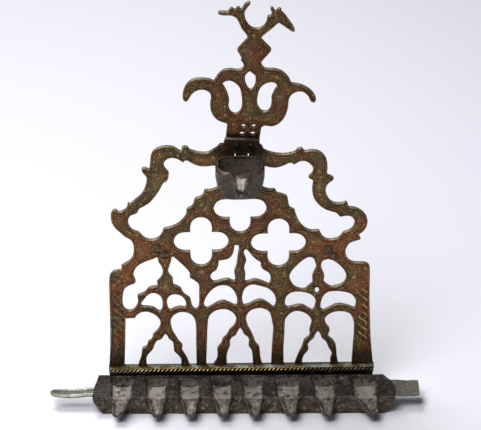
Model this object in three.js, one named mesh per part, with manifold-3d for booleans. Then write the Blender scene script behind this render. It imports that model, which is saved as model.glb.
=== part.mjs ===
// A Hanukkah bench lamp in cast brass: an openwork back plate on a low ledge, a crest riveted behind
// its neck, a row of eight oil wells at its foot and a servant lamp that hooks into a slot in the neck.
// Millimetres, +Z up, the front of the lamp faces -Y. The origin is under the middle of the whole lamp.
import * as THREE from 'three';
import { mergeVertices } from 'three/addons/utils/BufferGeometryUtils.js';
import Module from 'manifold-3d';

const wasm = await Module();
wasm.setup();

// Driving dimensions of the back plate. Its drawing square runs from the ledge to the top of the neck.
const plateWidth = 176;
const plateHeight = 176;
const plateThickness = 3.2;
const ledgeOverhang = 0.9;
const ledgeDepth = 2.7;
const ledgeThickness = 2.4;
const ledgeClearance = 1.9;
const skirtHoleRadius = 1.6;
const ringHoleWidth = 3.9;
const ringHoleHeight = 6.9;

// Rope moulding on the front edge of the ledge
const ropeSetIn = 0.6;
const ropeRadius = 1.7;
const ropeGroove = 0.5;
const ropeTurn = 8.25;
const ropeRise = 0.4;

// Row of oil wells
const rowLength = 202;
const rowOffset = 1;
const rowDepth = 25;
const rowSkew = 2.8;
const rowHeight = 14.5;
const rowWall = 2.2;
const rowTuck = 7.2;
const rowSetback = 3;
const wellWidth = 15.6;
const wellLength = 10.5;
const wellDepth = 10;
const wellShell = 1.6;
const shelfDepth = 1.3;
const spoutLength = 12;
const spoutTipWidth = 7.6;
const spoutRootDepth = 10;
const spoutTipDepth = 4.8;
const spoutDrop = 4.6;
const spoutWall = 1.1;

// Pins that hold the row to the skirt
const lugRadius = 4;
const pinRadius = 1.5;
const pinHeadRadius = 3;
const pinHeadHeight = 1.4;
const pinBite = 3;

// Rivets in the neck and the shoulders
const neckRivetRadius = 1.4;
const neckRivetHeadRadius = 2.4;
const neckRivetHeadHeight = 1.5;
const neckRivetSpacing = 9.1;
const shoulderRivetRadius = 1.5;
const shoulderRivetHeadRadius = 2.7;
const shoulderRivetHeadHeight = 1.3;

// Crest above the neck
const finialThickness = 3;
const finialHoleRadius = 1.3;

// Servant lamp and its tang
const cupWidth = 32;
const cupOffset = -1.4;
const cupDepth = 23;
const cupHeight = 26;
const cupWall = 2.2;
const cupBevel = 1.3;
const cupStandoff = 2.3;
const cupSpoutLength = 13;
const cupSpoutRootWidth = 13.6;
const cupSpoutTipWidth = 7.6;
const cupSpoutRootDepth = 14;
const cupSpoutTipDepth = 3.6;
const cupSpoutDrop = 6;
const cupSpoutWall = 1.1;
const cupShelfDepth = 1.9;
const tangWidth = 8.2;
const tangThickness = 1.5;
const tangDrop = 2.3;
const hookCatch = 1.5;
const slotWidth = 10.6;
const slotHeight = 3.9;

// Strips let into the ends of the row
const tongueReach = 28;
const tongueWidth = 9.4;
const tongueThickness = 1.6;
const tongueDish = 1.1;
const tongueHeight = 10;
const tabReach = 16.5;
const tabWidth = 16.8;
const tabThickness = 2;
const tabDish = 0.4;
const tabHeight = 10.4;
const stripBury = 6;
const stripSetback = 17.6;

// Fits and overruns
const fitGap = 0.3;
const hookRoom = 0.9;
const overrun = 1;

// Facet counts
const stepsPerSpan = 2;
const roundSteps = 10;
const rivetSteps = 8;
const lobeSteps = 6;
const cupSteps = 24;
const ropeLobes = 3;
const ropeStepsPerTurn = 9;

// Lengths and heights that several pieces share
const ledgeLength = plateWidth + 2 * ledgeOverhang;
const ropeLength = ledgeLength - 2 * ropeSetIn;
const ledgeTop = rowHeight + ledgeClearance + ledgeThickness;
const plateFootShare = -1.7;
const percentShare = 0.01;

// Solid and mesh helpers

const solidOf = (geometry) => {
  const bare = geometry.clone();
  bare.deleteAttribute('normal');
  bare.deleteAttribute('uv');
  const merged = mergeVertices(bare);
  return new wasm.Manifold(new wasm.Mesh({
    numProp: 3,
    vertProperties: new Float32Array(merged.attributes.position.array),
    triVerts: new Uint32Array(merged.index.array),
  }));
};

const geometryOf = (solid) => {
  const mesh = solid.getMesh();
  const geometry = new THREE.BufferGeometry();
  const places = new THREE.BufferAttribute(new Float32Array(mesh.vertProperties), mesh.numProp);
  geometry.setAttribute('position', places);
  geometry.setIndex(new THREE.BufferAttribute(new Uint32Array(mesh.triVerts), 1));
  geometry.computeVertexNormals();
  return geometry;
};

const joined = (solids) => solids.reduce((whole, solid) => whole.add(solid));

const signedVolume = (points, faces) => faces.reduce((sum, [a, b, c]) => {
  const area = new THREE.Vector3().crossVectors(points[b], points[c]);
  return sum + points[a].dot(area);
}, 0);

// A closed skin through rings of equal count, with a fan at each end
const loft = (rings) => {
  const count = rings[0].length;
  const points = rings.flat();
  const faces = [];
  for (let ring = 0; ring + 1 < rings.length; ring += 1) {
    for (let k = 0; k < count; k += 1) {
      const here = ring * count + k;
      const next = ring * count + (k + 1) % count;
      faces.push([here, next, next + count]);
      faces.push([here, next + count, here + count]);
    }
  }
  const ends = [[0, rings.at(0), true], [points.length - count, rings.at(-1), false]];
  ends.forEach(([start, ring, first]) => {
    const centre = ring.reduce((sum, point) => sum.add(point), new THREE.Vector3()).divideScalar(count);
    const hub = points.push(centre) - 1;
    for (let k = 0; k < count; k += 1) {
      const here = start + k;
      const next = start + (k + 1) % count;
      faces.push(first ? [hub, next, here] : [hub, here, next]);
    }
  });
  const outward = signedVolume(points, faces) > 0;
  const geometry = new THREE.BufferGeometry();
  geometry.setAttribute('position', new THREE.BufferAttribute(
    new Float32Array(points.flatMap((point) => point.toArray())), 3));
  geometry.setIndex(faces.flatMap(([a, b, c]) => (outward ? [a, b, c] : [a, c, b])));
  geometry.computeVertexNormals();
  return geometry;
};

// A box between two opposite corners
const block = (corner, opposite) => {
  const box = new THREE.Box3().setFromPoints([corner, opposite]);
  const size = box.getSize(new THREE.Vector3());
  const centre = box.getCenter(new THREE.Vector3());
  return new THREE.BoxGeometry(size.x, size.y, size.z).translate(centre.x, centre.y, centre.z);
};

// A round bar along Y from one depth to another
const barAlongY = (radius, x, z, fromY, toY) => new THREE.CylinderGeometry(
  radius, radius, Math.abs(toY - fromY), roundSteps,
).translate(x, (fromY + toY) / 2, z);

// A headed rivet along Y: a domed head at each end of a shank, the second head is left out for a pin
const rivetGeometry = (shankRadius, headRadius, headHeight, grip, withTail) => {
  const domeShares = [[1, 0], [0.94, 0.5], [0.62, 0.88], [0, 1]];
  const head = domeShares.map(([r, h]) => new THREE.Vector2(r * headRadius, grip + h * headHeight));
  const tail = domeShares.map(([r, h]) => new THREE.Vector2(r * headRadius, -h * headHeight)).reverse();
  const start = withTail ? tail : [new THREE.Vector2(0, 0)];
  const shank = [new THREE.Vector2(shankRadius, 0), new THREE.Vector2(shankRadius, grip)];
  return new THREE.LatheGeometry([...start, ...shank, ...head], rivetSteps);
};

const pieces = new THREE.Group();

const addPiece = (name, geometry, finish) => {
  const mesh = new THREE.Mesh(geometry, new THREE.MeshStandardMaterial(finish));
  mesh.name = name;
  pieces.add(mesh);
};

// Outlines are drawn as runs of shares: each run is one smooth curve, and a corner lies between two runs

const pointsOfRun = (run) => {
  const points = run.map(([across, up]) => new THREE.Vector3(across, up, 0));
  if (points.length < 3) return points;
  const curve = new THREE.CatmullRomCurve3(points, false, 'centripetal');
  return curve.getPoints((points.length - 1) * stepsPerSpan);
};

const outlineOf = (runs, place) => {
  const points = runs.flatMap(pointsOfRun).map((point) => place(point.x, point.y));
  return points.filter((point, k) => point.distanceTo(points[(k + 1) % points.length]) > fitGap / 2);
};

const platePoint = (across, up) => new THREE.Vector2(
  across * percentShare * plateWidth,
  ledgeTop + (up - plateFootShare) * percentShare * plateHeight,
);

// An upright plate behind one depth, with its openings cut through
const uprightPlate = (outer, openings, front, thickness) => {
  const prism = (outline, over) => {
    const geometry = new THREE.ExtrudeGeometry(
      new THREE.Shape(outline), { depth: thickness + 2 * over, bevelEnabled: false });
    return solidOf(geometry.rotateX(Math.PI / 2).translate(0, front + thickness + over, 0));
  };
  return prism(outer, 0).subtract(joined(openings.map((opening) => prism(opening, overrun))));
};

// Outline of the openwork: posts, shoulders with their scrolls, the two swan-necked arms and the neck tab
const foot = plateFootShare;
const plateOutlineShares = [
  [[-50.4, foot], [-49.9, 6], [-49.6, 20], [-49.6, 34], [-49.4, 38.8], [-48.9, 40.5], [-47.9, 41.6],
    [-46.4, 42.1], [-44.7, 42.3]],
  [[-44.8, 44.2], [-43.4, 45.2], [-41.6, 46.5], [-40.5, 48.3], [-40.1, 51], [-40.3, 54], [-41.3, 55.9],
    [-43, 57], [-44.6, 58.7], [-46.4, 60.6], [-47.8, 63], [-48.3, 66], [-47.9, 68], [-47, 69],
    [-46.3, 69.2]],
  [[-45.6, 68.1], [-44, 68.4], [-42.4, 69.6]],
  [[-41.8, 72.3], [-41.3, 71.4]],
  [[-40.9, 71.6], [-39.4, 73.2], [-37.4, 75], [-36.2, 76.7], [-35.3, 79], [-34.8, 81.6], [-34.9, 83.3],
    [-35.8, 84.6], [-36.5, 86], [-36.4, 87], [-35.6, 87.2]],
  [[-33.7, 86.6], [-33.4, 89], [-33.2, 91.5], [-32.5, 93.8], [-31, 95.3], [-29, 96.2], [-26.8, 96.4],
    [-24.6, 95.9], [-23.1, 94.8]],
  [[-22.3, 94.2], [-21.8, 94.4]],
  [[-21.7, 95.9], [-21, 96.3], [-20, 96.2], [-19.3, 95.4]],
  [[-19.2, 95], [-17.2, 94.1], [-14.5, 93.5], [-12.2, 93.6], [-10.2, 94.8], [-8.6, 96]],
  [[-8.1, 96.9], [-7.4, 97.2], [-6.7, 97]],
  [[-6.4, 97.8], [-6, 99.6]],
  [[6.5, 98.8], [6.6, 96.8]],
  [[7.4, 96.2], [8, 94.8]],
  [[8.3, 94.4], [10.5, 93.4], [13.5, 92.7], [16.8, 92.7], [19.6, 93.6]],
  [[20.3, 94.6], [20.9, 95], [22.1, 95], [22.7, 93.9]],
  [[23.3, 93.7], [25.5, 94.1], [27.8, 93.8], [29.7, 92.4], [31, 90.2], [31.5, 87.2], [31.4, 84.4]],
  [[31.6, 83.3], [32.8, 82.9], [33.8, 82], [33.7, 81.2], [32.6, 80.3], [31.4, 78.8], [31, 76.8],
    [31.3, 74.8], [32.2, 72.8], [33.6, 71.4], [35.4, 71], [37.4, 71.1]],
  [[38.1, 71.5], [38.8, 71.5], [39.2, 70.8], [39.4, 69.5]],
  [[39.9, 69.2], [42, 68.9], [44.2, 67.6], [45.8, 65.8], [46.7, 63.2], [46.4, 60.6], [45.4, 58.8],
    [43.9, 57.3]],
  [[43.6, 56.8], [44.3, 55.2]],
  [[44.1, 54.9], [42.4, 54.3], [40.6, 53.5], [39.3, 51.8], [38.8, 49.6], [39.2, 47.2], [40.4, 45.4],
    [42.4, 44.6], [45.2, 44.5], [47, 44], [47.9, 42.8], [48.1, 41], [48.2, 30], [48.6, 20], [49.1, 10],
    [50.2, foot]],
];

// The two wide openings under the arms, which leave the neck column between them
const leftArmOpeningShares = [
  [[-7.6, 87.2], [-10, 87.9], [-14, 87.6], [-17, 88.4], [-19.8, 90.2]],
  [[-20.7, 90.2], [-21.2, 89.4]],
  [[-21.7, 89.7], [-23.2, 90.8], [-25.2, 91.4], [-27.3, 90.8], [-28.4, 89], [-28.1, 87.2], [-27, 85.6]],
  [[-26.6, 84.9], [-26.7, 83.6], [-27.1, 82], [-27.7, 81.1]],
  [[-28.4, 80.9], [-29, 80], [-30, 77.8], [-31.8, 74.8], [-34, 72], [-37, 69.9]],
  [[-37.8, 69.3], [-38.3, 68.1], [-38.8, 67.4]],
  [[-39.4, 67.2], [-41, 66.4], [-41.9, 64.4], [-41.6, 61.9], [-40.3, 60], [-38.2, 59.1]],
  [[-37.6, 58.5], [-36.2, 56.7], [-34.4, 55.8], [-32.4, 55.8], [-30.6, 56.8], [-29.4, 58.6], [-29, 60.2]],
  [[-28.4, 60.7], [-25.8, 61.4], [-23.4, 62.8], [-21.4, 65], [-20.4, 67], [-20.3, 68.7]],
  [[-19.8, 69.4], [-18.4, 70.2], [-17.6, 71.8], [-17.3, 73.5]],
  [[-16.6, 74], [-15, 74.5], [-14, 75.6], [-13.8, 76.9]],
  [[-13.3, 77.4], [-11.4, 77.4], [-9.4, 78.2], [-7.4, 79.8], [-6.4, 82], [-6.2, 84.6], [-6.7, 86.4]],
];
const rightArmOpeningShares = [
  [[7.4, 86.9], [8.6, 87.5], [10, 87.1], [12.4, 86.8], [15, 87.5], [17.6, 88.8]],
  [[18.5, 88.7], [19.1, 88.1]],
  [[19.7, 88.3], [21, 89.2], [22.6, 89.6], [24.4, 88.9], [25.8, 87.4], [26.3, 85.8], [25.8, 84]],
  [[25, 83.2], [24.6, 82.5], [25.2, 81.8], [26.1, 81.4]],
  [[26.3, 80.4], [26, 77.4], [26.5, 74], [28.2, 70.9], [31, 68.4], [34.6, 67]],
  [[35.4, 66.5], [36, 65.6], [36.5, 65.1]],
  [[37.2, 65.2], [39.4, 65.5], [41.2, 64.6], [41.9, 62.8], [41.4, 60.6], [40, 59], [37.9, 58.2]],
  [[37.5, 57.5], [36.2, 55.9], [34, 55.1], [31.6, 55.2], [30, 56.5], [28.9, 59]],
  [[28.3, 59.2], [25.4, 59.2], [23, 60.7], [21.4, 62.9], [20.3, 65.6], [19.6, 68.1]],
  [[19, 68.7], [18, 69.2], [17.5, 70.4], [17.2, 72.4], [16.8, 74.1]],
  [[16.1, 74.7], [14.4, 75.4], [12.9, 75.8]],
  [[12.6, 76.9], [12, 77.4], [10.2, 77.4], [8.2, 78.1], [6.9, 79.6], [6.2, 82], [6.2, 84.4], [6.6, 86]],
];

// Openings of the left bay, round its umbrella-shaped strut and crossed legs
const leftBayShares = [
  [
    [[-31.4, 47.9], [-33.4, 47], [-36.2, 45.8], [-38.4, 44.4], [-40, 42], [-40.4, 39.8], [-39.8, 38],
      [-39.6, 36.9]],
    [[-40.3, 36.1], [-42.5, 35.1], [-43.9, 33.6], [-44.5, 31], [-44.7, 28], [-44.4, 25.7],
      [-43.4, 24.2], [-42, 23.8], [-40.5, 24.4], [-39.4, 26], [-38.9, 28.4], [-39.1, 30.2]],
    [[-38.8, 30.9], [-37.2, 31.5], [-36, 32.3], [-35, 33.8], [-33.6, 34.5], [-31.6, 34.8]],
    [[-31.3, 35.6], [-31.7, 36.8], [-30.9, 37.7], [-29.9, 39.2], [-29.4, 41.6], [-29.9, 43.8],
      [-30.9, 45.7]],
  ],
  [
    [[-25.9, 48.1], [-26.3, 46], [-27, 43.6], [-27.4, 41.6], [-26.9, 39.9], [-25.8, 38.4], [-25.6, 37]],
    [[-25.5, 35.2], [-24, 34.6], [-22.7, 33.6], [-22, 31.8], [-20.8, 30.4], [-19.4, 29.3]],
    [[-19.1, 28.4], [-18.6, 25.8], [-17.8, 24.3], [-16.8, 24.2], [-16.1, 25.6], [-15.9, 29],
      [-15.9, 34.6]],
    [[-16.2, 35.9], [-17.6, 37.3], [-19, 38.3]],
    [[-19.4, 38.9], [-19.4, 40.8], [-21, 43.2], [-23.4, 46], [-25.2, 47.9]],
  ],
  [
    [[-37.9, 26.9], [-36.6, 28.9], [-35, 31], [-33.2, 31.8], [-31.4, 31.2], [-30, 29.4], [-29.7, 27],
      [-29.9, 24.6], [-30.5, 23.4]],
    [[-31.2, 23.5], [-33, 25], [-35, 25.5], [-37.4, 25.7]],
  ],
  [
    [[-27.3, 24], [-27.9, 26], [-27.9, 28.6], [-27, 30.4], [-25, 31.1], [-23, 30.5], [-21.5, 29],
      [-20.9, 27], [-20.9, 25.2]],
    [[-21.5, 25], [-23.4, 25.3], [-25, 24.8], [-26.6, 23.9]],
  ],
  [
    [[-43.7, 20.3], [-40.1, 20.5]],
    [[-39.8, 21.3], [-38.2, 22.8], [-36, 23.3], [-33.6, 22.5], [-31.5, 20.6], [-30.6, 18.4], [-31, 16],
      [-32.2, 14], [-33.3, 12.8], [-33.8, 10.9]],
    [[-34.2, 10.1], [-35.3, 9.4], [-35.7, 7.8], [-36.4, 6.8]],
    [[-37.5, 6.5], [-37.8, 5.2], [-38.1, 2.6], [-38.9, 0], [-39.3, foot]],
    [[-44.5, foot], [-44.2, 6], [-43.9, 14]],
  ],
  [
    [[-36, foot], [-36.2, 1.6], [-35.2, 3.9], [-33.5, 6.2], [-32.9, 8.2], [-32, 9.8], [-30.3, 10.6],
      [-29.5, 12], [-28.8, 13]],
    [[-28, 12], [-27.5, 10.6], [-26.1, 9.3], [-25.8, 7.4], [-25.5, 4.9], [-24, 3], [-23, 1.2],
      [-23, foot]],
  ],
  [
    [[-26.7, 17.4], [-26.6, 19.6], [-25.2, 21.8], [-23, 22.9], [-20.6, 22.7], [-18.6, 21.3],
      [-17.5, 19], [-17.2, 15], [-17.2, 8], [-17.1, foot]],
    [[-19.8, foot], [-20.6, 1.2], [-21.6, 3.4], [-22.6, 5.4], [-22.4, 7.6], [-23.6, 9.2], [-24.6, 11.2],
      [-25.9, 13.8]],
  ],
];

// Openings of the middle bay
const middleBayShares = [
  [
    [[-2.5, 53], [-1.1, 52.9]],
    [[-1, 51], [-1.5, 47.6], [-1.9, 44], [-2.7, 41], [-2.4, 38.6], [-2.4, 37]],
    [[-3.4, 36.9], [-5.2, 37.8], [-7.6, 37.3], [-10.4, 36.6], [-11.4, 37.8], [-11.2, 40.4],
      [-9.6, 41.7], [-8.8, 43.4], [-8.4, 46.1]],
    [[-6.6, 46.4], [-4.8, 47], [-3.4, 48.7], [-2.8, 50.8]],
  ],
  [
    [[1.6, 51.2], [0.9, 50], [1.1, 48.4], [1.8, 46.2], [1.2, 43.8], [1.1, 42], [1.5, 40], [1.2, 37]],
    [[1.8, 36.4], [3.4, 37], [5, 37.4], [7.2, 36.8], [10.3, 35.2]],
    [[10.8, 36.4], [10.9, 38.6], [10, 40.6], [8.2, 41.9], [7.3, 43.2], [7.2, 45.2]],
    [[6.2, 45.8], [4.4, 47.6], [2.8, 49.9]],
  ],
  [
    [[-1.8, 25.8], [-1.6, 28.4], [-2.2, 31], [-3.4, 33.2], [-5, 34.6], [-7, 35], [-9.2, 34.4],
      [-11.2, 32.8], [-13, 30.2], [-14, 27.4], [-14, 25.6], [-13, 24.5]],
    [[-11.2, 25.6], [-9.2, 27], [-7, 27.8], [-5, 27.1], [-3, 25.9]],
  ],
  [
    [[0.6, 26.1], [0.3, 28.6], [0.6, 31.6], [1.8, 34], [4, 35.1], [7, 34.5], [10, 33.3], [12.2, 30.8],
      [12.9, 27.8], [12.6, 25.4], [12, 24.7]],
    [[10.2, 26.4], [8.4, 27.7], [6.8, 28.2], [5, 27.6], [3, 26.4], [1.2, 25.7]],
  ],
  [
    [[-12.6, 19], [-12, 21.2], [-10.2, 23.1], [-8, 24], [-5.8, 24], [-3.4, 22.6], [-2.1, 20.4],
      [-2.1, 18.2], [-3.2, 15.8], [-4.6, 14.3]],
    [[-5.1, 13], [-6.1, 11.3], [-7.1, 10.4], [-7.6, 8.3], [-8.7, 6.8]],
    [[-9.2, 5.6], [-9.1, 3], [-9.4, 0.8], [-10.8, foot]],
    [[-13.4, foot], [-13.1, 8], [-12.8, 16]],
  ],
  [
    [[-5.5, foot], [-5.6, 2.4], [-5, 5.4], [-4.3, 7.4], [-4.3, 9.6], [-3.4, 11.2], [-2.2, 12],
      [-1.4, 13.8], [-0.5, 15.5]],
    [[0.2, 14.4], [1.1, 12.3], [2.4, 11.2], [2.9, 9.4], [2.7, 7.2], [3.7, 5.4], [4.1, 3.4], [4.4, foot]],
  ],
  [
    [[1.8, 18.6], [2, 21], [3.4, 23.2], [5.8, 24.3], [8.2, 24.2], [10.4, 22.6], [11.3, 20],
      [11.6, 17.8], [12, 15.6], [11.7, 9], [11.3, foot]],
    [[7.9, foot], [7.2, 1.4], [7, 4.4], [6.7, 6.6], [5.6, 7.9], [4.8, 10.2], [4.2, 12], [3.6, 13.6],
      [2.6, 15.6]],
  ],
];

// Openings of the right bay
const rightBayShares = [
  [
    [[26.6, 36.6], [26.5, 38.6], [27.1, 40.7], [27.9, 42.8], [27.5, 45], [26.8, 46.7], [25.4, 47.3],
      [23.4, 46.3], [21, 43.9], [18.9, 41.2], [18, 38.8], [18.6, 36.1], [20.1, 33.8], [22, 32.9],
      [24, 32.8]],
    [[24.6, 33.7], [25.6, 34.7], [26.5, 35.4]],
  ],
  [
    [[30.9, 37.4], [31, 39], [30.3, 41], [29.8, 43.2], [30.3, 45.3], [32, 46.2], [34, 45.7],
      [36.6, 43.6], [38.7, 40.7], [39.2, 38.2], [38.4, 35.6], [36.4, 34.3], [33.8, 33.7]],
    [[32.8, 34.1], [31.6, 35.1], [30.8, 36.2]],
  ],
  [
    [[16.4, 26.6], [16.8, 29.2], [18.4, 31.1], [20.8, 31.7], [23.6, 31.4], [26, 30.4], [27.6, 28.6],
      [27.8, 26], [27.2, 23.8], [26.6, 23.1]],
    [[25, 24.1], [23.4, 25.3], [21.6, 25.6], [19.6, 25.2], [17.4, 24.6], [16.5, 25.4]],
  ],
  [
    [[29.9, 23.8], [29.9, 26.4], [30.8, 29.6], [32.6, 31.4], [35.4, 31.8], [38.6, 31.4], [41.2, 30.4],
      [42.8, 28.2], [43.1, 25.6], [42.7, 24]],
    [[42, 24.1], [39.8, 25.1], [37.4, 25.7], [35.6, 25.7], [33.6, 24.5], [30.8, 23]],
  ],
  [
    [[16.6, 19.2], [17.6, 20.9], [19.2, 22.4], [21.2, 22.9], [23.6, 22.1], [25.6, 20.4], [26.5, 18],
      [26, 15.4], [25.7, 13.8], [25.9, 12.4], [25.2, 10.6], [23.9, 9.6], [23.4, 8], [22.9, 6],
      [21.8, 3.4], [20.2, foot]],
    [[16.2, foot], [16, 5], [16.3, 13]],
  ],
  [
    [[23, foot], [23.6, 2], [24.9, 4], [25.5, 5.2], [25.3, 7.4], [26.2, 9], [27.4, 10.2], [28, 12],
      [28.9, 13.6]],
    [[29.9, 12.2], [30.5, 10.3], [32.1, 8.6], [33, 6.2], [34.4, 3], [33.9, 0.6], [33.9, foot]],
  ],
  [
    [[31.8, 17.4], [31.6, 19.2], [33, 21.2], [35.4, 22.4], [38.8, 22.4], [40.8, 21.5], [42, 19.4],
      [42.6, 16], [42.4, 8], [42, foot]],
    [[36.9, foot], [36.3, 2], [36.1, 5], [35.6, 7.6], [34.6, 9.3], [33.2, 10.6], [32.9, 12],
      [33.4, 13.8], [33.2, 14.9], [32.2, 16.2]],
  ],
];

// The three quatrefoils: place of the middle, and how far the lobes reach across, up and down
const quatrefoilShares = [
  { placeShares: [-15, 54.7], acrossShare: 10.15, upShare: 10.8, downShare: 10.8 },
  { placeShares: [13.75, 53.8], acrossShare: 10.15, upShare: 10.7, downShare: 10.7 },
  { placeShares: [-0.5, 69.1], acrossShare: 9.7, upShare: 10.6, downShare: 10.6 },
];
const lobeHalfShare = 0.39;
const lobeDepthShare = 0.4;

// A lobe is half an ellipse on a short straight neck; a cusp stands between two lobes
const quatrefoilPoints = ({ placeShares, acrossShare, upShare, downShare }) => {
  const [across, up] = placeShares;
  const neckAcross = acrossShare * lobeHalfShare;
  const neckUp = (upShare + downShare) / 2 * lobeHalfShare;
  const directions = [[0, 1, upShare], [-1, 0, acrossShare], [0, -1, downShare], [1, 0, acrossShare]];
  return directions.flatMap(([dx, dy, reach]) => {
    const halfWidth = dx === 0 ? neckAcross : neckUp;
    const depth = reach * lobeDepthShare;
    const lobe = Array.from({ length: lobeSteps + 1 }, (_, k) => {
      const turn = Math.PI * k / lobeSteps;
      const along = reach - depth + depth * Math.sin(turn);
      const aside = halfWidth * Math.cos(turn);
      return platePoint(across + dx * along + dy * aside, up + dy * along - dx * aside);
    });
    const cusp = platePoint(across + (dx - dy) * neckAcross, up + (dx + dy) * neckUp);
    return [...lobe, cusp];
  });
};

const ringHolePlaceShares = [28.35, 32.2];
const ringHolePoints = () => Array.from({ length: roundSteps }, (_, k) => {
  const turn = 2 * Math.PI * k / roundSteps;
  const centre = platePoint(...ringHolePlaceShares);
  return new THREE.Vector2(
    centre.x + ringHoleWidth / 2 * Math.cos(turn),
    centre.y + ringHoleHeight / 2 * Math.sin(turn),
  );
});

// Places on the plate
const slotBottomShare = 91.4;
const slotCentreShare = 0.1;
const slotCentre = slotCentreShare * percentShare * plateWidth;
const slotBottom = platePoint(0, slotBottomShare).y;
const slotTop = slotBottom + slotHeight;
const neckTopShare = 99.2;
const neckTop = platePoint(0, neckTopShare).y;
const finialFoot = slotTop + hookCatch + hookRoom;
const neckRivetRiseShare = 0.42;
const neckRivetHeight = THREE.MathUtils.lerp(finialFoot, neckTop, neckRivetRiseShare);
const neckRivetCentreShare = 1;
const neckRivetCentre = neckRivetCentreShare * percentShare * plateWidth;
const neckRivetPlaces = {
  neck_rivet_left: neckRivetCentre - neckRivetSpacing / 2,
  neck_rivet_right: neckRivetCentre + neckRivetSpacing / 2,
};
const shoulderRivetShares = {
  shoulder_rivet_left_upper: [-31.4, 52],
  shoulder_rivet_left_lower: [-28.6, 49.4],
  shoulder_rivet_right_upper: [32.2, 50.9],
  shoulder_rivet_right_lower: [34.4, 47.8],
};
const rowPinShares = {
  row_pin_far_left: -38.8,
  row_pin_near_left: -14.2,
  row_pin_near_right: 10.7,
  row_pin_far_right: 38.2,
};
const rowPinHeightShare = 0.5;
const rowPinHeight = rowPinHeightShare * rowHeight;
const skirtHoleShares = [27, 33.9];
const skirtHoleHeightShare = 0.89;

// Back plate: openwork, ledge and skirt in one casting
const backplateGeometry = () => {
  const openings = [
    leftArmOpeningShares,
    rightArmOpeningShares,
    ...leftBayShares,
    ...middleBayShares,
    ...rightBayShares,
  ].map((runs) => outlineOf(runs, platePoint));
  quatrefoilShares.forEach((quatrefoil) => openings.push(quatrefoilPoints(quatrefoil)));
  openings.push(ringHolePoints());
  const outer = outlineOf(plateOutlineShares, platePoint);
  outer.push(new THREE.Vector2(outer.at(-1).x, 0), new THREE.Vector2(outer[0].x, 0));
  const openwork = uprightPlate(outer, openings, 0, plateThickness);
  const ledge = solidOf(block(
    new THREE.Vector3(-ledgeLength / 2, -ledgeDepth, ledgeTop - ledgeThickness),
    new THREE.Vector3(ledgeLength / 2, plateThickness, ledgeTop),
  ));
  const slot = solidOf(block(
    new THREE.Vector3(slotCentre - slotWidth / 2, -overrun, slotBottom),
    new THREE.Vector3(slotCentre + slotWidth / 2, plateThickness + overrun, slotTop),
  ));
  const drill = (radius, x, z) => solidOf(barAlongY(radius, x, z, -overrun, plateThickness + overrun));
  const cuts = [slot];
  Object.values(neckRivetPlaces).forEach((x) => {
    cuts.push(drill(neckRivetRadius + fitGap, x, neckRivetHeight));
  });
  Object.values(shoulderRivetShares).forEach((place) => {
    const centre = platePoint(...place);
    cuts.push(drill(shoulderRivetRadius + fitGap, centre.x, centre.y));
  });
  Object.values(rowPinShares).forEach((share) => {
    cuts.push(drill(pinRadius + fitGap, share * percentShare * plateWidth, rowPinHeight));
  });
  skirtHoleShares.forEach((share) => {
    cuts.push(drill(skirtHoleRadius, share * percentShare * plateWidth, skirtHoleHeightShare * rowHeight));
  });
  return geometryOf(openwork.add(ledge).subtract(joined(cuts)));
};

// Rope moulding: three strands laid round each other along the ledge
const ropeGeometry = () => {
  const steps = Math.round(ropeLength / ropeTurn * ropeStepsPerTurn);
  const centreY = -(ledgeDepth + fitGap + ropeRadius);
  const centreZ = ledgeTop - ledgeThickness / 2 + ropeRise;
  const corners = 2 * ropeLobes;
  const rings = Array.from({ length: steps + 1 }, (_, step) => {
    const x = -ropeLength / 2 + ropeLength * step / steps;
    return Array.from({ length: corners }, (_unused, k) => {
      const turn = 2 * Math.PI * (k / corners - step / ropeStepsPerTurn);
      const radius = k % 2 === 0 ? ropeRadius : ropeRadius - ropeGroove;
      return new THREE.Vector3(x, centreY + radius * Math.cos(turn), centreZ + radius * Math.sin(turn));
    });
  });
  return loft(rings);
};

// Row of oil wells: its plan, as shares of its half length and its depth, and how its ends tuck in below.
// The row sits slightly askew to the plate.
const rowBackAt = (x) => -rowSetback - rowSkew * (1 / 2 + x / rowLength);
const rowFrontAt = (x) => rowBackAt(x) - rowDepth;
const rowPlanShares = [[-0.96, 0], [-0.985, 0.5], [-1, 1], [1, 1], [1, 0.5], [0.975, 0.25], [0.93, 0]];
const rowTuckShares = [[0, 1], [0.14, 0.8], [0.66, 0.1], [1, 0]];

const rowRing = (z, tuck, inset) => rowPlanShares.map(([along, forward]) => {
  const x = rowOffset + along * rowLength / 2 - Math.sign(along) * (tuck + inset);
  return new THREE.Vector3(x, THREE.MathUtils.lerp(rowBackAt(x) - inset, rowFrontAt(x) + inset, forward), z);
});

const wellPlaceShares = [-39.5, -28.2, -17.3, -6.6, 3.6, 15.2, 27.2, 40.5];
const wellWidthShares = [1.03, 1, 1, 0.98, 1, 1.14, 1.03, 1.24];
const spoutFanShares = [-1.7, 0, 0, 0.1, 0.2, 0.6, 0.5, 2.2];
const wellBackShare = 0.08;
const wellFloorShare = 0.84;
const wellRoundShare = 0.55;
const wells = wellPlaceShares.map((place, k) => {
  const x = place * percentShare * rowLength;
  const middle = rowBackAt(x) - wellBackShare * rowDepth - wellLength / 2;
  const width = wellWidthShares[k] * wellWidth;
  const fan = spoutFanShares[k] * percentShare * rowLength;
  return { x, middle, width, fan };
});

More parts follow.
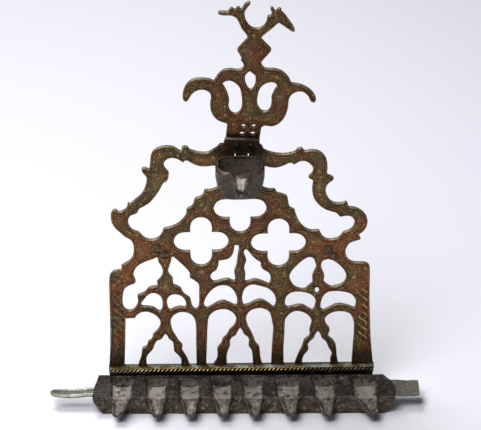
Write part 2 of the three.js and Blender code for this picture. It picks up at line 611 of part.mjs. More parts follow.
// The pit of a well: square at the back, round at the front and narrower at its floor
const pitRing = ({ x, middle, width }, z, share, grow) => {
  const half = width / 2 * share + grow;
  const reach = wellLength / 2 * share + grow;
  const round = reach * 2 * wellRoundShare;
  const arc = Array.from({ length: roundSteps + 1 }, (_, k) => {
    const turn = Math.PI * k / roundSteps;
    return new THREE.Vector3(x - half * Math.cos(turn), middle - reach + round - round * Math.sin(turn), z);
  });
  const back = [1, -1].map((side) => new THREE.Vector3(x + side * half, middle + reach, z));
  return [...back, ...arc];
};
const pit = (well, grow) => solidOf(loft([
  pitRing(well, rowHeight - wellDepth - grow, wellFloorShare, grow),
  pitRing(well, rowHeight, 1, grow),
  pitRing(well, rowHeight + overrun, 1, grow),
]));

// Stations along a spout as shares: how far out, how wide between tip and root, how low and how deep
const spoutStationShares = [
  { outShare: 0, widthShare: 1, dropShare: 0, depthShare: 1 },
  { outShare: 0.2, widthShare: 0.6, dropShare: 0.1, depthShare: 0.7 },
  { outShare: 0.5, widthShare: 0.2, dropShare: 0.42, depthShare: 0.35 },
  { outShare: 0.9, widthShare: 0, dropShare: 0.94, depthShare: 0.05 },
];
const noseWidthShare = 0.68;
const noseDepthShare = 0.7;
const bellyShare = 0.5;
const keelShare = 0.55;
const channelFloorShare = 0.6;
const channelLipShare = 0.25;

const spoutStations = (sizes) => {
  const { x, fan, root, length, rootWidth, tipWidth, rootDepth, tipDepth, drop, top } = sizes;
  const stations = spoutStationShares.map((share) => ({
    x: x + fan * share.outShare,
    y: root - length * share.outShare,
    width: THREE.MathUtils.lerp(tipWidth, rootWidth, share.widthShare),
    top: top - drop * share.dropShare,
    depth: THREE.MathUtils.lerp(tipDepth, rootDepth, share.depthShare),
  }));
  return [...stations, {
    x: x + fan,
    y: root - length,
    width: tipWidth * noseWidthShare,
    top: top - drop,
    depth: tipDepth * noseDepthShare,
  }];
};

// The outside of a spout has a rounded belly, and starts inside the wall it grows from
const spoutSection = ({ x, y, width, top, depth }) => [
  new THREE.Vector3(x - width / 2, y, top),
  new THREE.Vector3(x - width / 2, y, top - depth * bellyShare),
  new THREE.Vector3(x - width / 2 * keelShare, y, top - depth),
  new THREE.Vector3(x + width / 2 * keelShare, y, top - depth),
  new THREE.Vector3(x + width / 2, y, top - depth * bellyShare),
  new THREE.Vector3(x + width / 2, y, top),
];
const spoutSolid = (sizes) => {
  const stations = spoutStations(sizes);
  const buried = { ...stations[0], y: stations[0].y + sizes.bury };
  return solidOf(loft([buried, ...stations].map(spoutSection)));
};

// The channel of a spout keeps its side walls, and starts at the pit or the cup behind it
const channelSection = ({ x, y, width, top }, wall, deep, grow) => {
  const half = width / 2 - wall + grow;
  const floor = top - deep - grow;
  return [
    new THREE.Vector3(x - half, y, top + overrun * 2),
    new THREE.Vector3(x - half, y, top - deep * channelLipShare),
    new THREE.Vector3(x - half * channelFloorShare, y, floor),
    new THREE.Vector3(x + half * channelFloorShare, y, floor),
    new THREE.Vector3(x + half, y, top - deep * channelLipShare),
    new THREE.Vector3(x + half, y, top + overrun * 2),
  ];
};
const channelSolid = (sizes, start, grow) => {
  const { wall, deep } = sizes;
  const stations = spoutStations(sizes);
  const mouth = { ...stations[0], y: start };
  const last = stations.at(-1);
  const beyond = { ...last, y: last.y - overrun };
  const run = grow > 0 ? [mouth, stations[0]] : [mouth, ...stations, beyond];
  return solidOf(loft(run.map((station) => channelSection(station, wall, deep, grow))));
};

const wellSpoutSizes = ({ x, width, fan }) => ({
  x,
  fan,
  root: rowFrontAt(x),
  length: spoutLength,
  rootWidth: width + spoutWall / 2,
  tipWidth: spoutTipWidth,
  rootDepth: spoutRootDepth,
  tipDepth: spoutTipDepth,
  drop: spoutDrop,
  top: rowHeight,
  bury: rowWall / 2,
  wall: spoutWall,
  deep: shelfDepth,
});

const tonguePlace = { side: -1, width: tongueWidth, thickness: tongueThickness, bottom: tongueHeight };
const tabPlace = { side: 1, width: tabWidth, thickness: tabThickness, bottom: tabHeight };
const stripStart = (side) => rowOffset + side * (rowLength / 2 - stripBury);

const rowGeometry = () => {
  const body = solidOf(loft(rowTuckShares.map(([up, tuck]) => rowRing(up * rowHeight, tuck * rowTuck, 0))));
  const hollowTop = rowHeight - rowWall;
  const hollow = solidOf(loft(rowTuckShares.map(([up, tuck]) => rowRing(
    up === 0 ? -overrun : up * hollowTop, tuck * rowTuck, rowWall))));
  const shells = joined(wells.flatMap((well) => [
    pit(well, wellShell), channelSolid(wellSpoutSizes(well), well.middle, wellShell)]));
  const spouts = wells.map((well) => spoutSolid(wellSpoutSizes(well)));
  const lugs = Object.values(rowPinShares).map((share) => solidOf(barAlongY(
    lugRadius, share * percentShare * plateWidth, rowPinHeight, -fitGap,
    rowBackAt(share * percentShare * rowLength) - rowWall / 2)));
  const cuts = wells.flatMap((well) => [
    pit(well, 0), channelSolid(wellSpoutSizes(well), well.middle, 0)]);
  Object.values(rowPinShares).forEach((share) => cuts.push(solidOf(barAlongY(
    pinRadius + fitGap, share * percentShare * plateWidth, rowPinHeight, overrun, -(pinBite + fitGap)))));
  [tonguePlace, tabPlace].forEach(({ side, width, thickness, bottom }) => {
    const half = width / 2 + fitGap;
    cuts.push(solidOf(block(
      new THREE.Vector3(side * rowLength, -stripSetback - half, bottom - fitGap),
      new THREE.Vector3(stripStart(side) - side * fitGap, -stripSetback + half, bottom + thickness + fitGap),
    )));
  });
  const shell = body.subtract(hollow.subtract(shells));
  return geometryOf(shell.add(joined([...spouts, ...lugs])).subtract(joined(cuts)));
};

// A flat strip along X, from its tenon inside the row to its free end
const stripGeometry = ({ side, width, thickness, bottom }, reach, dish, stationShares) => {
  const start = stripStart(side);
  const length = stripBury + reach;
  const rings = stationShares.map(([along, wide, low]) => {
    const x = start + side * length * along;
    const half = width / 2 * wide;
    const base = bottom - dish * low;
    return [
      new THREE.Vector3(x, -stripSetback - half, base),
      new THREE.Vector3(x, -stripSetback + half, base),
      new THREE.Vector3(x, -stripSetback + half, base + thickness),
      new THREE.Vector3(x, -stripSetback - half, base + thickness),
    ];
  });
  return loft(rings);
};
const tongueStationShares = [
  [0, 1, 0], [0.25, 1, 0], [0.4, 1, 0.6], [0.62, 0.98, 1], [0.8, 0.94, 0.8], [0.92, 0.78, 0.4],
  [0.98, 0.5, 0.2],
  [1, 0.24, 0.1],
];
const tabStationShares = [[0, 1, 0], [0.35, 1, 0], [0.65, 0.98, 1], [0.95, 0.96, 0.5], [1, 0.9, 0.4]];

// Crest: horns, leaf openings, lozenge and two-headed bird, lapped behind the neck tab. It is drawn in the
// drawing square of the plate.
const finialAnchorShare = 100.4;
const finialPoint = (across, up) => new THREE.Vector2(
  across * percentShare * plateWidth,
  neckTop + (up - finialAnchorShare) * percentShare * plateHeight,
);
const finialOutlineShares = [
  [[-5.6, 101], [-5.3, 104], [-5.2, 105.8]],
  [[-6.2, 106.2], [-8.4, 107.2], [-10.2, 109.2], [-11.1, 111.6], [-11.3, 114.4], [-11, 117],
    [-11.4, 118.8], [-12.8, 119.9], [-14.8, 120.2], [-16.8, 119.4], [-18.2, 117.9], [-19.1, 116.2],
    [-19.9, 115.3], [-20.7, 115.6], [-21.2, 117], [-21, 119.4], [-20.2, 121.8], [-18.6, 123.8],
    [-16.6, 124.8], [-14, 125], [-11.6, 124.6]],
  [[-9.9, 123.8], [-9.2, 125.2], [-7.8, 127.2], [-6, 128.5], [-4, 128.8], [-1.6, 128.4], [0.2, 128.7]],
  [[0.8, 129.6], [0.6, 131.1]],
  [[-0.2, 132.2], [0, 133.2]],
  [[-0.7, 134.9], [-1.5, 136.5], [-1.1, 137.4], [0.2, 139], [2.3, 141.6]],
  [[1.6, 143.2], [0.1, 145.4], [-0.8, 147.6], [-1.8, 149.6], [-3.4, 150.6], [-5.4, 150.8],
    [-7.2, 150.9], [-8.3, 151.6], [-8.2, 152.3], [-6.8, 152.4], [-4.9, 152.3]],
  [[-4.3, 152.8], [-4, 153.6], [-3.2, 153.8], [-2.4, 153]],
  [[-1.8, 153.5], [-1.3, 154.2], [-0.7, 154], [-0.2, 153.2]],
  [[0.4, 153.6], [1, 155], [2.2, 156.1], [3.1, 156.2], [3.2, 155.4], [2.2, 154], [1.3, 152.4],
    [1.2, 150.6], [1.7, 148.4], [2.8, 146.6], [4.4, 145.5], [6.2, 145.4], [8, 146.4], [8.9, 148],
    [9.2, 149.8]],
  [[9.6, 150.6], [10.4, 150.4], [10.8, 151.8], [10.3, 153.4], [10.6, 154], [11.3, 153.8], [11.8, 152.6],
    [12.3, 152.3], [12.8, 153.2], [13.6, 153.6], [14.2, 153]],
  [[14.2, 152.2], [15.4, 151], [16.4, 149.4], [17.6, 147.6], [18.6, 145.8], [19.1, 144.4],
    [18.6, 143.8], [17, 144.8], [15, 146.4], [13.4, 147.6]],
  [[12.4, 146.8], [10.8, 145.1], [9, 143.6], [7.4, 142]],
  [[7.1, 141.2], [8.4, 139.6], [10, 137.8], [10.7, 136.6], [10, 135.2], [8.4, 133.2], [7.1, 131.5]],
  [[7.4, 130.2], [8.2, 129]],
  [[9.8, 128.7], [12, 128.6], [14.2, 127.8], [16, 126.3], [17.2, 124.6], [17.9, 122.7]],
  [[19.4, 122.4], [21.6, 121.8], [23.8, 120.6], [25.6, 118.9], [26.7, 117], [27, 115.4], [26.3, 114.4],
    [25.1, 114.9], [24.2, 117], [22.4, 118.8], [20.2, 119], [18.2, 117.8], [17.2, 115.8], [17, 113.4],
    [16.5, 110.6], [15.4, 107.8], [13.4, 105.5], [11.2, 104.5], [9, 104.8]],
  [[8, 104.7], [7.3, 104], [7, 102], [6.7, 100]],
];
const finialOpeningShares = [
  [
    [[-6.9, 122.7], [-5.6, 123.7], [-3.8, 123.8], [-1.9, 122.6], [-0.6, 120.8], [0, 118], [0.2, 115],
      [0.1, 112.6], [-0.8, 110.7], [-2.4, 110], [-3.8, 110.9], [-4.6, 113], [-4.4, 115.4]],
    [[-4.5, 116.6], [-5.2, 119.2], [-6.2, 121.4]],
  ],
  [
    [[5.7, 115.6], [6, 118], [6.7, 120.4], [8, 122], [10, 123], [12, 122.8], [12.9, 121.6], [12, 119.8],
      [10.9, 117]],
    [[10.9, 115.4], [10.7, 113], [9.8, 111.3], [8.4, 110.8], [7, 111.5], [6, 113.2]],
  ],
  [
    [[3, 127.8], [1.7, 126.5], [1.3, 124.6], [1.7, 122.4], [2.4, 120.8], [3.3, 120], [4.4, 120.9],
      [5.1, 123.4], [5, 125.8]],
  ],
];
const finialHolePlaceShares = [[0.6, 105], [4.3, 104.9], [0, 102.2], [3.9, 102.2]];
const finialFront = plateThickness + fitGap;

const finialGeometry = () => {
  const crest = outlineOf(finialOutlineShares, finialPoint);
  const footLeft = new THREE.Vector2(crest[0].x, finialFoot);
  const footRight = new THREE.Vector2(crest.at(-1).x, finialFoot);
  const openings = finialOpeningShares.map((runs) => outlineOf(runs, finialPoint));
  const plate = uprightPlate([...crest, footRight, footLeft], openings, finialFront, finialThickness);
  const drill = (radius, x, z) => solidOf(barAlongY(
    radius, x, z, finialFront - overrun, finialFront + finialThickness + overrun));
  const cuts = finialHolePlaceShares.map((place) => {
    const centre = finialPoint(...place);
    return drill(finialHoleRadius, centre.x, centre.y);
  });
  Object.values(neckRivetPlaces).forEach((x) => {
    cuts.push(drill(neckRivetRadius + fitGap, x, neckRivetHeight));
  });
  return geometryOf(plate.subtract(joined(cuts)));
};

// Servant lamp: a deep cup that narrows to its floor, a drawn spout, and a tang with an up-turned hook
const tangBottom = slotBottom + fitGap;
const rimTop = tangBottom + tangThickness + tangDrop;
const cupLevelShares = [
  { downShare: 0, wideShare: 1, deepShare: 1 },
  { downShare: 0.3, wideShare: 1, deepShare: 0.98 },
  { downShare: 0.62, wideShare: 0.93, deepShare: 0.92 },
  { downShare: 0.88, wideShare: 0.81, deepShare: 0.8 },
  { downShare: 1, wideShare: 0.68, deepShare: 0.68 },
];
const cupRoundShare = 0.62;
const cupFloorFront = -fitGap;
const cupMouthShare = 0.35;
const tangBiteShare = 0.75;
const cupCentre = slotCentre + cupOffset;
const cupRing = ({ downShare, wideShare, deepShare }, z, grow) => {
  const back = THREE.MathUtils.lerp(-cupStandoff, cupFloorFront, downShare) + grow;
  const halfDepth = cupDepth * deepShare / 2 + grow;
  const halfWidth = cupWidth * wideShare / 2 + grow;
  return Array.from({ length: cupSteps }, (_, k) => {
    const turn = 2 * Math.PI * (k + 1 / 2) / cupSteps;
    const ease = (value) => Math.sign(value) * Math.abs(value) ** cupRoundShare;
    return new THREE.Vector3(
      cupCentre + halfWidth * ease(Math.cos(turn)),
      back - halfDepth + halfDepth * ease(Math.sin(turn)),
      z,
    );
  });
};

const cupGeometry = () => {
  const [rimLevel, ...lowerLevels] = cupLevelShares;
  const outside = solidOf(loft([
    cupRing(rimLevel, rimTop, -cupBevel),
    cupRing(rimLevel, rimTop - cupBevel, 0),
    ...lowerLevels.map((level) => cupRing(level, rimTop - cupHeight * level.downShare, 0)),
  ]));
  const inside = solidOf(loft([
    cupRing(rimLevel, rimTop + overrun, -cupWall),
    ...cupLevelShares.map((level) => cupRing(
      level, rimTop - (cupHeight - cupWall) * level.downShare, -cupWall)),
  ]));
  const front = -cupStandoff - cupDepth;
  const sizes = {
    x: cupCentre,
    fan: 0,
    root: front,
    length: cupSpoutLength,
    rootWidth: cupSpoutRootWidth,
    tipWidth: cupSpoutTipWidth,
    rootDepth: cupSpoutRootDepth,
    tipDepth: cupSpoutTipDepth,
    drop: cupSpoutDrop,
    top: rimTop,
    bury: cupWall,
    wall: cupSpoutWall,
    deep: cupShelfDepth,
  };
  const spout = spoutSolid(sizes);
  const groove = channelSolid(sizes, front + cupDepth * cupMouthShare, 0);
  const hookBack = plateThickness + fitGap + tangThickness;
  const tang = solidOf(block(
    new THREE.Vector3(slotCentre - tangWidth / 2, -cupStandoff - cupWall * tangBiteShare, tangBottom),
    new THREE.Vector3(slotCentre + tangWidth / 2, hookBack, tangBottom + tangThickness),
  ));
  const hook = solidOf(block(
    new THREE.Vector3(slotCentre - tangWidth / 2, plateThickness + fitGap, tangBottom),
    new THREE.Vector3(slotCentre + tangWidth / 2, hookBack, slotTop + hookCatch),
  ));
  return geometryOf(outside.add(spout).subtract(inside).subtract(groove).add(tang).add(hook));
};

// Assembly

const brownBrass = { color: 0x4a3520, roughness: 0.55, metalness: 0.8 };
const sootyBrass = { color: 0x3b3836, roughness: 0.65, metalness: 0.6 };
const goldenBrass = { color: 0x8d7440, roughness: 0.4, metalness: 0.9 };
const darkIron = { color: 0x1f1b17, roughness: 0.7, metalness: 0.5 };

addPiece('backplate', backplateGeometry(), brownBrass);
addPiece('rope_rail', ropeGeometry(), goldenBrass);
addPiece('oil_row', rowGeometry(), sootyBrass);
addPiece('finial', finialGeometry(), brownBrass);
addPiece('shamash_cup', cupGeometry(), sootyBrass);
addPiece('left_tongue', stripGeometry(
  tonguePlace, tongueReach, tongueDish, tongueStationShares), sootyBrass);
addPiece('right_tab', stripGeometry(tabPlace, tabReach, tabDish, tabStationShares), sootyBrass);

// A rivet made along Y is turned so that its head faces the front
const placedRivet = (geometry, x, y, z) => geometry.rotateX(Math.PI).translate(x, y, z);

Object.entries(neckRivetPlaces).forEach(([name, x]) => {
  const grip = plateThickness + finialThickness + 3 * fitGap;
  const rivet = rivetGeometry(neckRivetRadius, neckRivetHeadRadius, neckRivetHeadHeight, grip, true);
  addPiece(name, placedRivet(rivet, x, grip - fitGap, neckRivetHeight), darkIron);
});
Object.entries(shoulderRivetShares).forEach(([name, place]) => {
  const centre = platePoint(...place);
  const grip = plateThickness + 2 * fitGap;
  const rivet = rivetGeometry(
    shoulderRivetRadius, shoulderRivetHeadRadius, shoulderRivetHeadHeight, grip, true);
  addPiece(name, placedRivet(rivet, centre.x, grip - fitGap, centre.y), brownBrass);
});
Object.entries(rowPinShares).forEach(([name, share]) => {
  const grip = pinBite + plateThickness + fitGap;
  const pin = rivetGeometry(pinRadius, pinHeadRadius, pinHeadHeight, grip, false);
  addPiece(name, pin.translate(share * percentShare * plateWidth, -pinBite, rowPinHeight), darkIron);
});

// The origin goes under the middle of the lamp
const bounds = new THREE.Box3().setFromObject(pieces);
const middle = bounds.getCenter(new THREE.Vector3());
pieces.position.set(-middle.x, -middle.y, -bounds.min.z);

const lamp = new THREE.Group();
lamp.add(pieces);

export default lamp;
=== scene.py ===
"""Looks for the Hanukkah bench lamp: an old cast brass lamp with an openwork back plate on a ledge, a crest, a
row of eight oil wells, a rope moulding and a servant lamp. Metres and the CAD frame, shapes worked out in mm."""
import math

import bmesh
import bpy
import numpy as np
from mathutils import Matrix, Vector, noise
from mathutils.geometry import delaunay_2d_cdt


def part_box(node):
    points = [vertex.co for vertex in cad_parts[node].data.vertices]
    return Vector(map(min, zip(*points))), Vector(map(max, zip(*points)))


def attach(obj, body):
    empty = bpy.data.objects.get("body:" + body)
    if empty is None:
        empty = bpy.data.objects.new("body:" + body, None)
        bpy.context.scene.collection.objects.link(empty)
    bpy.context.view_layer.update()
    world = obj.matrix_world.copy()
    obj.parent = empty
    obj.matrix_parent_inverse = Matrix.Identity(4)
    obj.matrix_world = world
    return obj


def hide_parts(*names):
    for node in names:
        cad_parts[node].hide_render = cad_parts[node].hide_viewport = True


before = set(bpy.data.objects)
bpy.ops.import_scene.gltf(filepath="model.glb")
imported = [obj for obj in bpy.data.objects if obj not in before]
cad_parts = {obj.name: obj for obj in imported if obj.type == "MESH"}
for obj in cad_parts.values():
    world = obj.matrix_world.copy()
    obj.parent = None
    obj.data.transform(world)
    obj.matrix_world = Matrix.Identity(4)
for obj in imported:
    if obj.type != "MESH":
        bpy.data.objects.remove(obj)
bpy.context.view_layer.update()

MM = 0.001

# Spacing of mesh points on the cast sheets, and how far the loose ones stay off the lines, in millimetres
OUTLINE_SPACING = 0.6
LINE_SPACING = 0.6
SKIN_SPACING, SKIN_CLEAR = 1.15, 0.3
CHASED_SPACING, CHASED_CLEAR = 0.5, 0.18
BACK_SPACING, BACK_CLEAR = 3.0, 0.6

# The grid that holds how deep places lie inside the outlines, in millimetres, and the fewest points of a line
FIELD_STEP = 0.3
FIELD_REACH = 4.8
FEWEST_POINTS = 8

# How near two places count as one, in millimetres
FLAT_TOLERANCE = 0.02
PLAN_TOLERANCE = 1e-4
WELD = 0.002

# Turns that stay sharp: between two spans of an outline, and between faces of a sheet and of a bar
CORNER_TURN = math.radians(42)
SHEET_TURN = math.radians(50)
BAR_TURN = math.radians(60)

# The rim of a cast sheet, in millimetres in from its outline: a rounded edge, then two graved lines
EDGE_ROUND = 0.7
EDGE_STATIONS = (0.12, 0.36, 0.7)
BACK_STATIONS = (0.2, 0.7)
OUTER_LINE, OUTER_HALF, OUTER_DEEP = 1.55, 0.45, 0.36
INNER_LINE, INNER_HALF, INNER_DEEP = 3.05, 0.42, 0.26
RIDGE_LINE = (OUTER_LINE + INNER_LINE) / 2
FRONT_STATIONS = (*EDGE_STATIONS, *(
    line + side * half for line, half in ((OUTER_LINE, OUTER_HALF), (INNER_LINE, INNER_HALF)) for side in (-1, 0, 1)))

# Small graved rings, in millimetres, and how dark and how rubbed they are
RING_HALF, RING_DEEP = 0.42, 0.22
RING_DARK, RING_RUBBED = 0.7, 0.4

# How wide the pale rim is, in millimetres, and its share where it does not face up: filed grey all round, painted
# paler as a highlight where the edge faces up
RIM_WIDTH = 0.5
RIM_LEAST = 0.3

# A sheet's faces as the mould left them, in millimetres: how far they sink, and their waves' size and height
FACE_SINK, FACE_LEVEL = 0.3, 0.12
FACE_WAVE, FACE_WAVE_HIGH = 8.0, 0.16
FACE_GRAIN, FACE_GRAIN_HIGH = 2.3, 0.1
FACE_RIM, EDGE_SINK, EDGE_SINK_REACH = 0.9, 0.18, 1.3
BACK_SINK, BACK_RIM = 0.2, 1.5
BACK_WAVE, BACK_WAVE_HIGH = 5.0, 0.25

# A solid casting's lumps, in millimetres, and the bulge over one grain that counts as a full edge
LUMP, SMALL_LUMP = 5.0, 1.7
FULL_BULGE = 0.14


def eased(value, start, end):
    """A share that goes smoothly from 0 at start to 1 at end."""
    share = ((value - start) / (end - start)).clip(0, 1)
    return share * share * (3 - 2 * share)


def bell(value, middle, width):
    """A share that is 1 at the middle and fades within about a width."""
    return np.exp(-((value - middle) / width) ** 2)


def grains(places, size, seed=0.0):
    """Noise between about -0.7 and 0.7 whose grains have one size, all in millimetres."""
    lift = Vector((seed, seed, seed))
    return np.array([noise.noise(Vector(place) / size + lift) for place in np.asarray(places).tolist()])


def graved(distance, half, deep):
    """The section of a graved line, round at its bottom."""
    return deep * (1 - (distance / half) ** 2).clip(0)


def edge_fall(depth):
    """How far a rounded edge falls away, at a depth inside the outlines."""
    return EDGE_ROUND - np.sqrt(EDGE_ROUND ** 2 - (EDGE_ROUND - depth).clip(0) ** 2)


def upright(plan, y):
    """The places of a plan's points, across and up, at one y or at a y for each."""
    return np.stack([plan[:, 0], np.broadcast_to(y, len(plan)), plan[:, 1]], 1)


def node_box(node):
    """A CAD node's lowest and highest corners, in millimetres."""
    return (np.array(corner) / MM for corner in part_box(node))


# Outlines and cast sheets

def within(points, outlines):
    """Which points of a plan lie inside the outlines, holes left out."""
    order = np.argsort(points[:, 1])
    along, up = points[order, 0], points[order, 1]
    inside = np.zeros(len(points), bool)
    for outline in outlines:
        for (ax, az), (bx, bz) in zip(outline, np.roll(outline, -1, 0)):
            if az == bz:
                continue
            first, last = np.searchsorted(up, (min(az, bz), max(az, bz)))
            crossing = ax + (up[first:last] - az) * (bx - ax) / (bz - az)
            inside[first:last] ^= along[first:last] < crossing
    answer = np.zeros(len(points), bool)
    answer[order] = inside
    return answer


def chained(links):
    """Closed lines from a map of each point to its two neighbours."""
    lines, left = [], dict(links)
    while left:
        start = next(iter(left))
        line, here, before = [start], start, None
        while True:
            ahead = [p for p in left.pop(here) if p != before and (p in left or p == start)]
            if not ahead or ahead[0] == start:
                break
            before, here = here, ahead[0]
            line.append(here)
        lines.append(line)
    return lines


def face_outlines(node, depth):
    """The closed outlines of a CAD node's flat upright face, in millimetres across and up."""
    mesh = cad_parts[node].data
    places = [tuple(round(c / MM, 3) for c in v.co) for v in mesh.vertices]
    uses = {}
    for face in mesh.polygons:
        corners = [places[k] for k in face.vertices]
        if all(abs(corner[1] - depth) < FLAT_TOLERANCE for corner in corners):
            flat = [(corner[0], corner[2]) for corner in corners]
            for edge in zip(flat, flat[1:] + flat[:1]):
                uses[frozenset(edge)] = uses.get(frozenset(edge), 0) + 1
    links = {}
    for edge, count in uses.items():
        if count == 1 and len(edge) == 2:
            a, b = edge
            links.setdefault(a, []).append(b)
            links.setdefault(b, []).append(a)
    return [smooth_outline(line) for line in chained(links) if len(line) > 2]


def spline(before, start, end, after, spacing):
    """Points from start towards end on a curve through four points."""
    knots = [0.0]
    four = [before, start, end, after]
    for a, b in zip(four, four[1:]):
        knots.append(knots[-1] + max(np.linalg.norm(b - a), 1e-6) ** 0.5)
    count = max(1, round(float(np.linalg.norm(end - start)) / spacing))
    t = (knots[1] + (knots[2] - knots[1]) * np.arange(count) / count)[:, None]

    def between(a, b, ta, tb):
        return a * (tb - t) / (tb - ta) + b * (t - ta) / (tb - ta)

    one = [between(four[k], four[k + 1], knots[k], knots[k + 1]) for k in range(3)]
    two = [between(one[k], one[k + 1], knots[k], knots[k + 2]) for k in range(2)]
    return between(two[0], two[1], knots[1], knots[2])


def smooth_outline(points):
    """A finer outline through the same points, smooth along its runs and sharp at its corners."""
    points = np.asarray(points, float)
    into = points - np.roll(points, 1, 0)
    out = np.roll(points, -1, 0) - points
    turn = np.abs(np.arctan2(
        into[:, 0] * out[:, 1] - into[:, 1] * out[:, 0], (into * out).sum(1)))
    sharp = turn > CORNER_TURN
    count = len(points)
    made = []
    for k in range(count):
        start, end = points[k], points[(k + 1) % count]
        before = 2 * start - end if sharp[k] else points[k - 1]
        after = 2 * end - start if sharp[(k + 1) % count] else points[(k + 2) % count]
        made.append(spline(before, start, end, after, OUTLINE_SPACING))
    return np.concatenate(made)


def evenly(line, spacing):
    """A closed line with points at an even spacing."""
    shut = np.concatenate([line, line[:1]])
    length = np.concatenate([[0], np.cumsum(np.linalg.norm(np.diff(shut, axis=0), axis=1))])
    places = np.linspace(0, length[-1], max(6, round(length[-1] / spacing)), endpoint=False)
    return np.stack([np.interp(places, length, shut[:, k]) for k in range(2)], 1)


def circle(x, z, radius):
    """A closed line of points round a centre."""
    turns = np.linspace(0, 2 * math.pi, max(10, round(2 * math.pi * radius / LINE_SPACING)), endpoint=False)
    return np.stack([x + radius * np.cos(turns), z + radius * np.sin(turns)], 1)


class CastSheet:
    """An upright flat casting seen from the front, and how far each place in it is from its outlines."""

    def __init__(self, outlines):
        self.outlines = outlines
        every = np.concatenate(outlines)
        self.low = every.min(0) - 2 * FIELD_STEP
        self.shape = tuple(np.ceil((every.max(0) - self.low) / FIELD_STEP).astype(int) + 3)
        self.depth = np.full(self.shape, FIELD_REACH)
        for line in outlines:
            for a, b in zip(line, np.roll(line, -1, 0)):
                self.near(a, b)
        axes = [self.low[k] + FIELD_STEP * np.arange(self.shape[k]) for k in range(2)]
        grid = np.stack(np.meshgrid(*axes, indexing="ij"), -1).reshape(-1, 2)
        self.depth[~within(grid, outlines).reshape(self.shape)] *= -1

    def near(self, a, b):
        """Lowers the field to the distance from one span of an outline."""
        way = b - a
        if way @ way == 0:
            return
        first = np.floor((np.minimum(a, b) - FIELD_REACH - self.low) / FIELD_STEP).astype(int).clip(0)
        last = np.ceil((np.maximum(a, b) + FIELD_REACH - self.low) / FIELD_STEP).astype(int) + 1
        patch = self.depth[first[0]:last[0], first[1]:last[1]]
        across = self.low[0] + FIELD_STEP * (first[0] + np.arange(patch.shape[0]))[:, None] - a[0]
        up = self.low[1] + FIELD_STEP * (first[1] + np.arange(patch.shape[1]))[None, :] - a[1]
        share = ((across * way[0] + up * way[1]) / (way @ way)).clip(0, 1)
        np.minimum(patch, np.hypot(across - share * way[0], up - share * way[1]), out=patch)

    def read(self, points):
        """How deep inside the outlines points lie, read between the grid's own."""
        place = (points - self.low) / FIELD_STEP
        corner = np.floor(place).astype(int).clip(0, np.array(self.shape) - 2)
        u, v = (place - corner).T
        i, j = corner.T
        field = self.depth
        return ((field[i, j] * (1 - u) + field[i + 1, j] * u) * (1 - v)
                + (field[i, j + 1] * (1 - u) + field[i + 1, j + 1] * u) * v)

    def worn_and_lit_edge(self, points):
        """How pale the edge is: the grey of filing, with a painted highlight that is strongest where the edge faces
        up.
        """
        step = np.array((0, RIM_WIDTH))
        return RIM_LEAST + (1 - RIM_LEAST) * (self.read(points - step) - self.read(points + step)).clip(0, 1)

    def rim_wear_and_highlight(self, points, depth):
        """How much of the pale rim shows: filed grey, and a painted highlight on edges that face up."""
        return bell(depth, 0, RIM_WIDTH) * self.worn_and_lit_edge(points)

    def line_at(self, level):
        """Closed lines at one distance inside the outlines, as evenly spaced points."""
        height = self.depth - level
        up = height > 0
        mixed = ((up[:-1, :-1] ^ up[1:, :-1]) | (up[:-1, :-1] ^ up[:-1, 1:]) | (up[:-1, :-1] ^ up[1:, 1:]))
        links = {}
        for i, j in np.argwhere(mixed).tolist():
            square = [(i, j), (i + 1, j), (i + 1, j + 1), (i, j + 1)]
            crossed = [
                (min(a, b), max(a, b)) for a, b in zip(square, square[1:] + square[:1]) if up[a] != up[b]]
            if len(crossed) == 4 and (sum(height[c] for c in square) > 0) == bool(up[i, j]):
                crossed = crossed[1:] + crossed[:1]
            for a, b in zip(crossed[::2], crossed[1::2]):
                links.setdefault(a, []).append(b)
                links.setdefault(b, []).append(a)
        lines = []
        for chain in chained(links):
            if len(chain) < FEWEST_POINTS:
                continue
            ends = np.array(chain, float)
            low, high = (np.array([height[tuple(int(c) for c in end)] for end in ends[:, k]]) for k in (0, 1))
            share = (low / (low - high))[:, None]
            line = self.low + FIELD_STEP * (ends[:, 0] * (1 - share) + ends[:, 1] * share)
            for _ in range(2):
                line = (np.roll(line, 1, 0) + 2 * line + np.roll(line, -1, 0)) / 4
            lines.append(evenly(line, LINE_SPACING))
        return lines

    def scattered(self, spacing, stations, clear):
        """Points in rows over the sheet, clear of its outlines and of the lines at some distances."""
        low, high = self.low, self.low + FIELD_STEP * np.array(self.shape)
        rows = []
        for k, up in enumerate(np.arange(low[1], high[1], spacing * math.sin(math.pi / 3))):
            along = np.arange(low[0] + spacing / 2 * (k % 2), high[0], spacing)
            rows.append(np.stack([along, np.full(len(along), up)], 1))
        points = np.concatenate(rows)
        depth = self.read(points)
        keep = depth > clear
        for station in stations:
            keep &= np.abs(depth - station) > clear
        return points[keep]

    def triangulated(self, lines, loose):
        """Triangles of the sheet's plan that keep the given closed lines as edges."""
        points, edges = [], []
        for line in lines:
            first = len(points)
            points.extend(line.tolist())
            edges.extend((first + k, first + (k + 1) % len(line)) for k in range(len(line)))
        points.extend(loose.tolist())
        flat, _, faces, *_ = delaunay_2d_cdt([Vector(p) for p in points], edges, [], 0, PLAN_TOLERANCE)
        flat = np.array([tuple(p) for p in flat])
        faces = np.array(faces)
        return flat, faces[within(flat[faces].mean(1), self.outlines)]


# Pieces

def placed(name, data):
    """A new object in the scene."""
    thing = bpy.data.objects.new(name, data)
    bpy.context.scene.collection.objects.link(thing)
    return thing


def weld(mesh, turn_out):
    """Joins vertices that lie in one place and, if asked, turns the faces outward."""
    work = bmesh.new()
    work.from_mesh(mesh)
    bmesh.ops.remove_doubles(work, verts=work.verts, dist=WELD * MM)
    if turn_out:
        bmesh.ops.recalc_face_normals(work, faces=work.faces)
    work.to_mesh(mesh)
    work.free()


def mark(mesh, values):
    """Writes named values to a mesh's vertices, for the materials to follow."""
    for key, numbers in values.items():
        mesh.attributes.new(key, "FLOAT", "POINT").data.foreach_set("value", np.asarray(numbers, np.float32))


